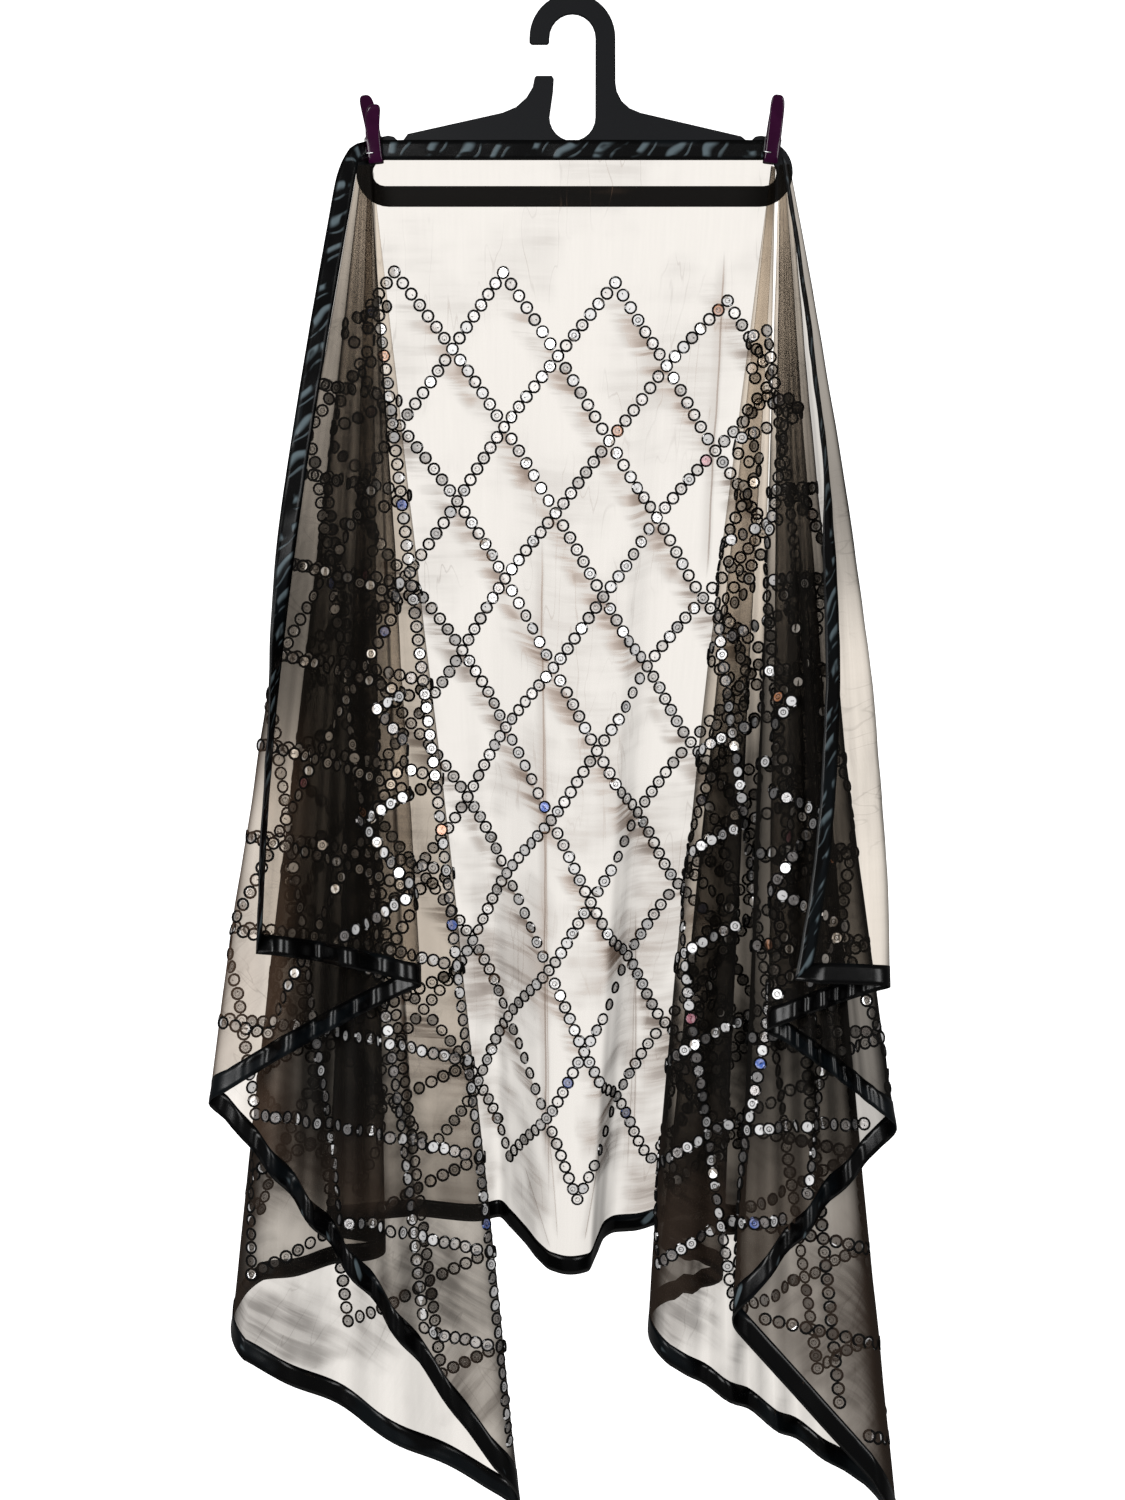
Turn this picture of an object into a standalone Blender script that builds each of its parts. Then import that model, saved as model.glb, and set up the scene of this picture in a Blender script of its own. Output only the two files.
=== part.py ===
"""A dupatta stole pegged to a trouser hanger. The front faces -Y and the hook's inner top is the origin."""

import math
from collections import namedtuple

import bmesh
import bpy
from mathutils import Vector

MM = 0.001
SEAM = 0.0003

# Hanger: one flat moulding.
HANGER_HALF_THICK = 0.003
HOOK_X = -0.002
HOOK_Z = -0.022
HOOK_INNER = 0.022
HOOK_OUTER = 0.041
HOOK_TIP_Z = -0.027
EYE_LOW_Z = -0.0951
FRAME_HALF_WIDTH = 0.210
FRAME_TOP_Z = -0.1153
FRAME_LOW_Z = -0.1786
FRAME_CORNER = 0.031
SLOT_HALF_WIDTH = 0.1945
SLOT_TOP_Z = -0.1348
SLOT_LOW_Z = -0.1594
SLOT_CORNER = 0.0120
UPPER_CORNER = 0.030
UPPER_CORNER_ENDS = 78.0
TIP_EASE = 0.002
RIM_BEVEL = 0.0008
CURVE_STEPS = 12
CORNER_STEPS = 8

# Cloth: one rectangle, bound all round with ribbon.
CLOTH_WIDTH = 1.081
LEFT_LENGTH = 0.759
PEG_SPACING = 0.384
RIGHT_LENGTH = 0.782
RIBBON = 0.0185
NET_WALL = 0.0010
RIBBON_WALL = 0.0012
LEFT_PEG_X = -0.195
CLOTH_Y = -0.0040
CLOTH_TOP_Z = -0.1165

# Falls: the net fans out from each peg and doubles back in folds, each in front of the last.
END_CLEAR = 0.7
STOP_CLEAR = 0.05
LAST_RAY = 89.0
NECK = 0.007
NECK_REACH = 0.079
NECK_TURN = 1.0
TURN_SIDE = 1.0
ARCS_TRIED = 60
TURN_STEPS = 4
RIPPLE_STEPS = 4
PLAIN_STEPS = 3
STRAIGHT_STOPS = (0.0, 0.012, 0.05, 0.14, 0.34, 0.66, 1.0)
BOWED_STOPS = (0.0, 0.012, 0.05, 0.14, 0.30, 0.48, 0.66, 0.83, 1.0)

# cloth_angle is measured in the cloth round the peg, from the drop below it to the top edge.
# side_top, side_end and ahead are where that line of cloth hangs, in degrees from straight down.
# turn is how far the cloth goes round there, neck_side is its place in the jaw in mm, and
# ripples counts the waves in the cloth since the fold before.
Fold = namedtuple("Fold", "cloth_angle side_top side_end ahead turn neck_side ripples")

LEFT_FOLDS = (
    Fold(0.0, 1.2, 1.6, 0.0, 0.0, 0.0, 0),
    Fold(5.2, -2.6, -3.0, 1.5, 1.6, -3.0, 0),
    Fold(9.4, 0.2, 0.2, 3.1, 1.6, 0.0, 0),
    Fold(19.4, -6.8, -6.7, 6.6, 5.4, -8.0, 1),
    Fold(36.0, 6.6, 6.4, 8.9, 1.8, 1.0, 2),
    Fold(57.0, -9.8, -8.8, 11.9, 1.8, -10.0, 6),
    Fold(75.0, 4.2, 4.0, 13.8, 1.8, 0.0, 4),
    Fold(90.0, -9.4, -6.4, 14.9, 0.0, -10.0, 2),
)
RIGHT_FOLDS = (
    Fold(0.0, -3.6, -4.2, 0.0, 0.0, 2.0, 0),
    Fold(4.2, -0.6, -1.0, 1.4, 1.5, 4.0, 0),
    Fold(9.5, -5.6, -5.4, 2.9, 1.5, 0.0, 1),
    Fold(14.0, -2.6, -2.4, 4.4, 1.5, 4.0, 1),
    Fold(20.7, -7.4, -6.0, 7.1, 4.0, 0.0, 2),
    Fold(36.3, 4.0, 4.7, 9.8, 4.0, 11.0, 4),
    Fold(45.5, -2.0, -2.6, 11.8, 1.7, 6.0, 2),
    Fold(58.3, 4.6, 5.9, 14.2, 3.0, 14.0, 3),
    Fold(71.5, -1.2, -1.5, 15.8, 1.8, 6.0, 4),
    Fold(82.5, 9.6, 6.1, 17.4, 1.8, 14.0, 3),
    Fold(90.0, 8.0, 0.7, 18.4, 0.0, 11.0, 0),
)

# The free top ribbon turns about its length: where it faces, in degrees from +X, along the fall.
Twist = namedtuple("Twist", "share facing")

LEFT_TWIST = (
    Twist(0.0, 180.0),
    Twist(0.4, 172.0),
    Twist(0.58, 135.0),
    Twist(0.75, 100.0),
    Twist(1.0, 95.0),
)
RIGHT_TWIST = (
    Twist(0.0, 105.0),
    Twist(0.4, 110.0),
    Twist(0.52, 136.0),
    Twist(1.0, 142.0),
)

# Centre panel: where each upright line of cloth ends at the hem. along is from the left peg,
# inward is its sideways drift, ahead is towards the front and drop is extra length, in mm.
Line = namedtuple("Line", "along inward ahead drop")

PANEL_LINES = (
    Line(60.0, 34.0, 14.0, 0.0),
    Line(100.0, 17.0, 2.0, 0.0),
    Line(125.0, 4.0, 14.0, 6.0),
    Line(150.0, -6.0, 32.0, 16.0),
    Line(170.0, -13.0, 48.0, 27.0),
    Line(192.0, -21.0, 58.0, 35.0),
    Line(232.0, -41.0, 62.0, 38.0),
    Line(262.0, -53.0, 56.0, 37.0),
    Line(277.0, -60.0, 40.0, 27.0),
    Line(292.0, -66.0, 22.0, 15.0),
    Line(310.0, -73.0, 12.0, 13.0),
    Line(339.0, -84.0, 8.0, 13.0),
)
PANEL_COLUMNS = 30
PANEL_ROWS = 5
TOP_RIBBON_COLUMNS = 10
FREE_RIBBON_GAP = 0.0011
LEFT_RISE = 0.055
RISE_STEPS = 7

# Pegs: two levers sprung together, jaws down over the hanger's upper bar.
PEG_WIDTH = 0.0138
LEFT_PEG_ASIDE = 0.0045
RIGHT_PEG_ASIDE = -0.001
JAW_FOOT_UP = -0.0035
LEFT_PEG_LEAN = -6.0
RIGHT_PEG_LEAN = 7.0
LEFT_PEG_TURN = -20.0
RIGHT_PEG_TURN = 5.0
LEFT_PEG_DIP = 0.42
RIGHT_PEG_DIP = -0.12
TURN_FROM_UP = 0.024
TURN_OVER = 0.036
WIRE = 0.0007
COIL_UP = 0.0255
COIL_RADIUS = 0.0026
COIL_TURNS = 2.5
COIL_STEPS = 10
WIRE_SIDES = 6

# A lever's outline, outwards from the bar and up from the jaw's tip, in mm.
LeverPoint = namedtuple("LeverPoint", "out up")

LEVER_OUTLINE = (
    LeverPoint(0.0, 0.0),
    LeverPoint(3.4, 0.0),
    LeverPoint(5.2, 6.0),
    LeverPoint(6.0, 20.0),
    LeverPoint(8.2, 32.0),
    LeverPoint(14.0, 57.0),
    LeverPoint(12.6, 60.5),
    LeverPoint(10.4, 59.0),
    LeverPoint(5.0, 38.0),
    LeverPoint(3.2, 27.0),
    LeverPoint(3.2, 21.5),
    LeverPoint(0.0, 19.0),
)

# One arm of the spring, from its hooked end to the coil. beside is from the wire's run past the
# lever's side, out is from the lever's inner face and up is from the jaw's tip, in mm.
ArmPoint = namedtuple("ArmPoint", "beside out up")

SPRING_ARM = (
    ArmPoint(-6.6, 6.8, 9.5),
    ArmPoint(-1.0, 6.8, 9.5),
    ArmPoint(0.0, 5.8, 10.2),
    ArmPoint(0.0, 4.9, 16.5),
    ArmPoint(0.0, 0.9, 23.5),
)

# The hanger's corners between its arcs, in mm from the hook's inner top.
Corner = namedtuple("Corner", "x z")

RIGHT_SHOULDER = (
    Corner(39.2, -63.6),
    Corner(40.5, -71.3),
    Corner(45.0, -79.9),
    Corner(52.5, -86.7),
    Corner(63.0, -91.0),
    Corner(160.0, -112.9),
    Corner(164.0, -116.0),
    Corner(170.0, -116.5),
    Corner(173.5, -113.2),
    Corner(179.0, -112.2),
    Corner(185.0, -113.4),
)
LEFT_SHOULDER = (
    Corner(-185.0, -113.4),
    Corner(-179.0, -112.2),
    Corner(-173.5, -113.2),
    Corner(-170.0, -116.5),
    Corner(-164.0, -116.0),
    Corner(-160.0, -110.7),
    Corner(-69.0, -91.0),
    Corner(-56.0, -85.7),
    Corner(-46.0, -77.0),
    Corner(-40.0, -67.4),
)
PRONG = (
    Corner(-38.2, -58.7),
    Corner(-36.5, -56.8),
    Corner(-21.5, -56.8),
    Corner(-19.8, -59.7),
    Corner(-20.5, -71.3),
)


def clear_scene():
    for item in list(bpy.data.objects):
        bpy.data.objects.remove(item)


def plain_material(name, colour, rough, metal=0.0):
    made = bpy.data.materials.new(name)
    made.use_nodes = True
    shader = made.node_tree.nodes["Principled BSDF"]
    shader.inputs["Base Color"].default_value = (*colour, 1.0)
    shader.inputs["Roughness"].default_value = rough
    shader.inputs["Metallic"].default_value = metal
    return made


def new_node(name, points, faces, material):
    mesh = bpy.data.meshes.new(name)
    mesh.from_pydata([tuple(point) for point in points], [], faces)
    mesh.materials.append(material)
    item = bpy.data.objects.new(name, mesh)
    bpy.context.scene.collection.objects.link(item)
    return item


def arc(centre, radius, first, last, steps=CURVE_STEPS):
    """Points round a circle in the XZ plane, with angles in degrees from +X."""
    found = []
    for step in range(steps + 1):
        angle = math.radians(first + (last - first) * step / steps)
        found.append((centre[0] + radius * math.cos(angle), centre[1] + radius * math.sin(angle)))
    return found


def smooth_through(knots, values, at):
    """A curve through the rows that never swings past them."""
    spans = [after - before for before, after in zip(knots, knots[1:])]
    rises = [(after - before) / span for before, after, span in zip(values, values[1:], spans)]
    part = max(index for index in range(len(spans)) if at >= knots[index] or index == 0)
    share = (at - knots[part]) / spans[part]
    slopes = []
    for index in (part, part + 1):
        before = rises[max(index - 1, 0)]
        after = rises[min(index, len(rises) - 1)]
        slopes.append(0.0 if before * after <= 0 else 2.0 * before * after / (before + after))
    arrived = 3 * share**2 - 2 * share**3
    leave = (share**3 - 2 * share**2 + share) * slopes[0] * spans[part]
    arrive = (share**3 - share**2) * slopes[1] * spans[part]
    return (1 - arrived) * values[part] + arrived * values[part + 1] + leave + arrive


def along_ray(side, ahead):
    """The way that a line of cloth hangs, from its two angles in degrees."""
    side = math.radians(side)
    ahead = math.radians(ahead)
    return Vector((math.sin(side) * math.cos(ahead), -math.sin(ahead), -math.cos(side) * math.cos(ahead)))


class Fall:
    """The cloth beyond one peg, as lines that fan out from the peg's jaw."""

    def __init__(self, folds, twist, peg_x, length, ray_stops, rise):
        self.folds = folds
        self.ray_stops = ray_stops
        self.rise = rise
        self.twist = twist
        self.peg_x = peg_x
        self.length = length
        self.drop = CLOTH_WIDTH - RIBBON
        self.ripple = [self.ripple_height(index) for index in range(len(folds) - 1)]

    def half_turn(self, fold):
        """Half the cloth that goes round a fold's turn, in degrees."""
        radius = fold.turn / 2
        wide = min(radius, TURN_SIDE)
        return math.pi / 2 * math.sqrt((radius**2 + wide**2) / 2)

    def heading(self, index):
        """+1 where the cloth arrives at this fold towards +X, and -1 towards -X."""
        step = max(index, 1)
        return 1.0 if self.folds[step].side_end > self.folds[step - 1].side_end else -1.0

    def leg(self, index, share, height):
        """Where the cloth hangs between two folds."""
        start = self.folds[index]
        stop = self.folds[index + 1]
        start_wide = min(start.turn / 2, TURN_SIDE)
        stop_wide = min(stop.turn / 2, TURN_SIDE)
        back = self.heading(index) * start_wide
        ahead_back = self.heading(index + 1) * stop_wide
        neck_back = self.heading(index) * (NECK_TURN if start.turn else 0.0)
        neck_ahead = self.heading(index + 1) * (NECK_TURN if stop.turn else 0.0)
        ripple = height * math.sin(math.pi * share) * math.sin(2 * math.pi * stop.ripples * share)

        def between(first, second):
            return first + (second - first) * share

        return (
            between(start.side_top - back, stop.side_top - ahead_back),
            between(start.side_end - back, stop.side_end - ahead_back),
            between(start.ahead + start.turn / 2, stop.ahead - stop.turn / 2),
            between(start.neck_side - neck_back, stop.neck_side - neck_ahead),
            ripple * self.heading(index + 1),
        )

    def leg_length(self, index, height):
        total = 0.0
        before = None
        for step in range(ARCS_TRIED + 1):
            _, side, ahead, _, ripple = self.leg(index, step / ARCS_TRIED, height)
            here = along_ray(side, ahead + ripple)
            if before is not None:
                total += math.degrees((here - before).length)
            before = here
        return total

    def ripple_height(self, index):
        """How deep the ripples between two folds are, so that they take up the cloth that lies there."""
        start = self.folds[index]
        stop = self.folds[index + 1]
        cloth = stop.cloth_angle - start.cloth_angle - self.half_turn(start) - self.half_turn(stop)
        low = 0.0
        high = 2.0
        if not stop.ripples:
            return low
        for _ in range(24):
            middle = (low + high) / 2
            if self.leg_length(index, middle) < cloth:
                low = middle
            else:
                high = middle
        return low

    def section(self, angle):
        """side at the top, side at the end, ahead, neck_side and ripple of the line at one cloth angle."""
        for index, fold in enumerate(self.folds):
            half = self.half_turn(fold)
            if fold.turn and abs(angle - fold.cloth_angle) <= half:
                swing = (angle - fold.cloth_angle) / half * math.pi / 2
                wide = self.heading(index) * min(fold.turn / 2, TURN_SIDE) * (1 - math.cos(swing))
                neck = self.heading(index) * NECK_TURN * (1 - math.cos(swing))
                ahead = fold.ahead + fold.turn / 2 * math.sin(swing)
                return fold.side_top - wide, fold.side_end - wide, ahead, fold.neck_side - neck, 0.0
        index = max(i for i in range(len(self.folds) - 1) if angle >= self.folds[i].cloth_angle or i == 0)
        first = self.folds[index].cloth_angle + self.half_turn(self.folds[index])
        last = self.folds[index + 1].cloth_angle - self.half_turn(self.folds[index + 1])
        return self.leg(index, min(max((angle - first) / (last - first), 0.0), 1.0), self.ripple[index])

    def reach(self, angle):
        """From the jaw to the cloth's edge, along the line at one cloth angle."""
        turned = math.radians(angle)
        return min(self.drop / max(math.cos(turned), MM), self.length / max(math.sin(turned), MM))

    def ray_point(self, radius, angle):
        side_top, side_end, ahead, neck_side, ripple = self.section(angle)
        share = (radius / self.reach(angle)) ** 2
        side = side_top + (side_end - side_top) * share
        neck_ahead = NECK_REACH * math.radians(ahead)
        start = Vector((self.peg_x + neck_side * MM, CLOTH_Y - neck_ahead, CLOTH_TOP_Z - RIBBON))
        return start + radius * along_ray(side, ahead + ripple)

    def place(self, along, down):
        """The point of cloth so far along from the peg and so far down from the top edge."""
        below = down - RIBBON
        if below >= 0:
            return self.ray_point(math.hypot(along, below), math.degrees(math.atan2(along, below)))
        edge = self.ray_point(along, 90.0)
        run = (self.ray_point(along + MM, 90.0) - edge).normalized()
        shares = [row.share for row in self.twist]
        facings = [row.facing for row in self.twist]
        facing = math.radians(smooth_through(shares, facings, along / self.length))
        across = Vector((math.cos(facing), -math.sin(facing), 0.0))
        across = (across - run * across.dot(run)).normalized()
        if along < self.rise:
            risen = (1 - along / self.rise) ** 2
            across = (across * (1 - risen) + Vector((0.0, 0.0, 1.0)) * risen).normalized()
        return edge - across * below

    def stops(self, first, last):
        """Cloth angles to model between two angles: close together at the turns and in the ripples."""
        found = [first, last]
        for index, fold in enumerate(self.folds):
            half = self.half_turn(fold)
            if fold.turn:
                turning = [half * (2 * step / TURN_STEPS - 1) for step in range(TURN_STEPS + 1)]
                found += [fold.cloth_angle + angle for angle in turning]
            if index:
                start = self.folds[index - 1].cloth_angle + self.half_turn(self.folds[index - 1])
                end = fold.cloth_angle - half
                steps = fold.ripples * RIPPLE_STEPS or PLAIN_STEPS
                found += [start + (end - start) * step / steps for step in range(steps + 1)]
        kept = [first]
        for angle in sorted(found):
            clear = END_CLEAR if kept[-1] == first else STOP_CLEAR
            if angle - kept[-1] > clear and last - angle > END_CLEAR:
                kept.append(angle)
        return kept + [last]


LEFT_FALL = Fall(LEFT_FOLDS, LEFT_TWIST, LEFT_PEG_X, LEFT_LENGTH, STRAIGHT_STOPS, LEFT_RISE)
RIGHT_FALL = Fall(RIGHT_FOLDS, RIGHT_TWIST, LEFT_PEG_X + PEG_SPACING, RIGHT_LENGTH, BOWED_STOPS, 0.0)


def panel_place(along, down):
    """A point of the centre panel: its upright lines run straight from the bar to the hem."""
    left_top = LEFT_FALL.place(0.0, RIBBON)
    right_top = RIGHT_FALL.place(0.0, RIBBON)
    left_low = LEFT_FALL.place(0.0, CLOTH_WIDTH)
    right_low = RIGHT_FALL.place(0.0, CLOTH_WIDTH)
    knots = [0.0] + [line.along * MM for line in PANEL_LINES] + [PEG_SPACING]
    across = [LEFT_PEG_X + (line.along + line.inward) * MM for line in PANEL_LINES]
    ahead = [CLOTH_Y - line.ahead * MM for line in PANEL_LINES]
    height = [CLOTH_TOP_Z - CLOTH_WIDTH - line.drop * MM for line in PANEL_LINES]
    low = Vector(
        (
            smooth_through(knots, [left_low.x] + across + [right_low.x], along),
            smooth_through(knots, [left_low.y] + ahead + [right_low.y], along),
            smooth_through(knots, [left_low.z] + height + [right_low.z], along),
        )
    )
    top = left_top.lerp(right_top, along / PEG_SPACING)
    if down < RIBBON:
        return Vector((top.x, CLOTH_Y, top.z + RIBBON - down))
    return top.lerp(low, (down - RIBBON) / (CLOTH_WIDTH - RIBBON))


def facing_of(place, along, down):
    """Square to the cloth at one point."""
    step = MM / 10
    across = place(along + step, down) - place(along - step, down)
    fall = place(along, down + step) - place(along, down - step)
    return across.cross(fall).normalized()


def sheet_node(name, place, columns, wall, material):
    """A closed sheet from columns of (along, down) points of the cloth."""
    rows = len(columns[0])
    front = []
    back = []
    for column in columns:
        for along, down in column:
            middle = place(along, down)
            facing = facing_of(place, along, down) * (wall / 2)
            front.append(middle + facing)
            back.append(middle - facing)
    count = len(front)
    faces = []
    for across in range(len(columns) - 1):
        for row in range(rows - 1):
            a = across * rows + row
            b = a + 1
            c = a + rows
            d = c + 1
            faces += [(a, b, c), (b, d, c)]
            faces += [(count + a, count + c, count + b), (count + b, count + c, count + d)]
    last = (len(columns) - 1) * rows
    for row in range(rows - 1):
        faces += [(row, count + row, row + 1), (row + 1, count + row, count + row + 1)]
        end = last + row
        faces += [(end, end + 1, count + end), (end + 1, count + end + 1, count + end)]
    for across in range(len(columns) - 1):
        top = across * rows
        low = top + rows - 1
        faces += [(top, top + rows, count + top), (top + rows, count + top + rows, count + top)]
        faces += [(low, count + low, low + rows), (low + rows, count + low, count + low + rows)]
    item = new_node(name, front + back, faces, material)
    shape = bmesh.new()
    shape.from_mesh(item.data)
    bmesh.ops.remove_doubles(shape, verts=shape.verts, dist=MM / 100)
    bmesh.ops.recalc_face_normals(shape, faces=shape.faces)
    shape.to_mesh(item.data)
    shape.free()
    return item


def corner_angle(fall):
    """The cloth angle of the corner inside the ribbon."""
    return math.degrees(math.atan2(fall.length - RIBBON, fall.drop - RIBBON))


def net_of_fall(name, fall, material):
    """The fall's net, a little inside the ribbon on every side."""
    low = fall.drop - RIBBON - SEAM
    end = fall.length - RIBBON - SEAM
    corner = corner_angle(fall)
    last = 90.0 - math.degrees(math.atan2(SEAM, end))
    angles = fall.stops(0.0, corner)[:-1] + fall.stops(corner, LAST_RAY) + [last]
    columns = []
    for angle in angles:
        turned = math.radians(angle)
        far = min(low / max(math.cos(turned), MM), end / max(math.sin(turned), MM))
        column = []
        for stop in fall.ray_stops:
            radius = NECK + (far - NECK) * stop
            along = max(radius * math.sin(turned), SEAM / 2)
            below = max(radius * math.cos(turned), SEAM)
            column.append((along, RIBBON + below))
        columns.append(column)
    return sheet_node(name, fall.place, columns, NET_WALL, material)


def hem_ribbon(name, fall, material):
    """Along the hem, from the drop below the peg to the mitred corner."""
    columns = []
    for angle in fall.stops(0.0, corner_angle(fall))[:-1]:
        slope = math.tan(math.radians(angle))
        inner = max(slope * (fall.drop - RIBBON), SEAM / 2)
        outer = max(slope * fall.drop, SEAM / 2)
        columns.append([(inner, CLOTH_WIDTH - RIBBON), (outer, CLOTH_WIDTH)])
    columns.append([(fall.length - RIBBON - SEAM, CLOTH_WIDTH - RIBBON), (fall.length - SEAM, CLOTH_WIDTH)])
    return sheet_node(name, fall.place, columns, RIBBON_WALL, material)


def end_ribbon(name, fall, material):
    """Up the end, from the mitred corner at the hem to the one at the top."""
    inside = fall.length - RIBBON
    columns = [[(inside, CLOTH_WIDTH - RIBBON - SEAM), (fall.length, CLOTH_WIDTH - SEAM)]]
    for angle in fall.stops(corner_angle(fall), LAST_RAY)[1:]:
        slope = math.tan(math.radians(90.0 - angle))
        columns.append([(inside, RIBBON + slope * inside), (fall.length, RIBBON + slope * fall.length)])
    columns.append([(inside, RIBBON + SEAM), (fall.length, SEAM)])
    return sheet_node(name, fall.place, columns, RIBBON_WALL, material)


def free_top_ribbon(name, fall, material):
    """The top edge's ribbon beyond the peg, hanging with the fall."""
    columns = []
    rising = [fall.rise * step / RISE_STEPS / fall.length for step in range(1, RISE_STEPS + 1)]
    stops = [0.0] + [stop for stop in rising if stop > NECK / fall.length] + list(fall.ray_stops[3:])
    for stop in stops if fall.rise else fall.ray_stops:
        outer = NECK + (fall.length - SEAM - NECK) * stop
        inner = NECK + (fall.length - RIBBON - SEAM - NECK) * stop
        columns.append([(outer, 0.0), (inner, RIBBON - FREE_RIBBON_GAP)])
    return sheet_node(name, fall.place, columns, RIBBON_WALL, material)


def panel_sheet(name, count, rows, first_down, last_down, wall, material):
    """A band of the centre panel, from one depth to another."""
    columns = []
    start = SEAM / 2
    stop = PEG_SPACING - SEAM / 2
    for step in range(count + 1):
        along = start + (stop - start) * step / count
        downs = [first_down + (last_down - first_down) * row / rows for row in range(rows + 1)]
        columns.append([(along, down) for down in downs])
    return sheet_node(name, panel_place, columns, wall, material)


def plate_from_outline(name, outline, holes, half_thick, material, bevel):
    """A flat plate in the XZ plane, with its rims eased."""
    shape = bmesh.new()
    edges = []
    for loop in [outline] + holes:
        points = [shape.verts.new((x, -half_thick, z)) for x, z in loop]
        edges += [shape.edges.new((points[i], points[(i + 1) % len(points)])) for i in range(len(points))]
    filled = bmesh.ops.triangle_fill(shape, edges=edges, use_beauty=True)
    front = [item for item in filled["geom"] if isinstance(item, bmesh.types.BMFace)]
    grown = bmesh.ops.extrude_face_region(shape, geom=front, use_keep_orig=True)
    moved = [item for item in grown["geom"] if isinstance(item, bmesh.types.BMVert)]
    bmesh.ops.translate(shape, verts=moved, vec=(0.0, half_thick * 2, 0.0))
    bmesh.ops.recalc_face_normals(shape, faces=shape.faces)
    flat = math.radians(1.0)
    bmesh.ops.dissolve_limit(shape, angle_limit=flat, verts=shape.verts, edges=shape.edges)
    if bevel:
        rims = [edge for edge in shape.edges if edge.calc_face_angle(0.0) > math.radians(60.0)]
        rims = [edge for edge in rims if abs(edge.verts[0].co.y - edge.verts[1].co.y) < MM / 10]
        bmesh.ops.bevel(
            shape,
            geom=rims,
            offset=bevel,
            affect="EDGES",
            segments=1,
            profile=0.5,
            material=-1,
            clamp_overlap=True,
        )
    bmesh.ops.triangulate(shape, faces=shape.faces)
    mesh = bpy.data.meshes.new(name)
    shape.to_mesh(mesh)
    shape.free()
    mesh.materials.append(material)
    item = bpy.data.objects.new(name, mesh)
    bpy.context.scene.collection.objects.link(item)
    return item


def in_metres(corners):
    return [(corner.x * MM, corner.z * MM) for corner in corners]


def hanger_outline():
    """Round the moulding, from the hook's tip over the top and back through the eye."""
    hook = (HOOK_X, HOOK_Z)
    lower_x = FRAME_HALF_WIDTH - FRAME_CORNER
    lower_z = FRAME_LOW_Z + FRAME_CORNER
    upper_x = FRAME_HALF_WIDTH - UPPER_CORNER
    upper_z = FRAME_TOP_Z - FRAME_CORNER
    tip_out = HOOK_X - HOOK_OUTER
    tip_in = HOOK_X - HOOK_INNER
    eased = TIP_EASE / 2
    points = [(tip_out + TIP_EASE, HOOK_TIP_Z - eased), (tip_out, HOOK_TIP_Z + eased)]
    points += arc(hook, HOOK_OUTER, 180.0, 0.0, CURVE_STEPS * 2)
    points += in_metres(RIGHT_SHOULDER)
    points += arc((upper_x, upper_z), UPPER_CORNER, UPPER_CORNER_ENDS, 0.0, CORNER_STEPS)
    points += arc((lower_x, lower_z), FRAME_CORNER, 0.0, -90.0, CORNER_STEPS)
    points += arc((-lower_x, lower_z), FRAME_CORNER, -90.0, -180.0, CORNER_STEPS)
    points += arc((-upper_x, upper_z), UPPER_CORNER, 180.0, 180.0 - UPPER_CORNER_ENDS, CORNER_STEPS)
    points += in_metres(LEFT_SHOULDER + PRONG)
    points += arc((HOOK_X, EYE_LOW_Z), HOOK_INNER, 180.0, 360.0)
    points += arc(hook, HOOK_INNER, 0.0, 180.0)
    points += [(tip_in, HOOK_TIP_Z + eased), (tip_in - TIP_EASE, HOOK_TIP_Z - eased)]
    return points


def slot_outline():
    x = SLOT_HALF_WIDTH - SLOT_CORNER
    top = SLOT_TOP_Z - SLOT_CORNER
    low = SLOT_LOW_Z + SLOT_CORNER
    points = arc((x, top), SLOT_CORNER, 90.0, 0.0, 4)
    points += arc((x, low), SLOT_CORNER, 0.0, -90.0, 4)
    points += arc((-x, low), SLOT_CORNER, -90.0, -180.0, 4)
    points += arc((-x, top), SLOT_CORNER, 180.0, 90.0, 4)
    return points


class Peg:
    """Where one peg stands: its jaw's tip is the pivot of its lean."""

    def __init__(self, x, lean, turn, dip):
        self.foot = Vector((x, 0.0, CLOTH_TOP_Z - RIBBON + JAW_FOOT_UP))
        self.lean = math.radians(lean)
        self.turn = math.radians(turn)
        self.dip = dip

    def place(self, across, out, up):
        """across runs over the peg's width and out is square to the bar. The handles turn aside and dip."""
        share = min(max((up - TURN_FROM_UP) / TURN_OVER, 0.0), 1.0)
        swing = self.turn * share
        shifted = across - math.sin(swing) * out
        tilted = shifted * math.cos(self.lean) + up * math.sin(self.lean)
        height = up * math.cos(self.lean) - shifted * math.sin(self.lean) - out * self.dip * share
        return self.foot + Vector((tilted, -out * math.cos(swing / 2), height))


def peg_lever(name, peg, side, gap, material):
    """One lever: its outline carried over the peg's width."""
    half = PEG_WIDTH / 2
    points = []
    for across in (-half, half):
        for corner in LEVER_OUTLINE:
            points.append(peg.place(across, side * (gap + corner.out * MM), corner.up * MM))
    count = len(LEVER_OUTLINE)
    faces = [tuple(range(count)), tuple(range(2 * count - 1, count - 1, -1))]
    for index in range(count):
        following = (index + 1) % count
        faces.append((index, count + index, count + following, following))
    item = new_node(name, points, faces, material)
    shape = bmesh.new()
    shape.from_mesh(item.data)
    bmesh.ops.triangulate(shape, faces=shape.faces)
    bmesh.ops.recalc_face_normals(shape, faces=shape.faces)
    shape.to_mesh(item.data)
    shape.free()
    return item


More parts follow.
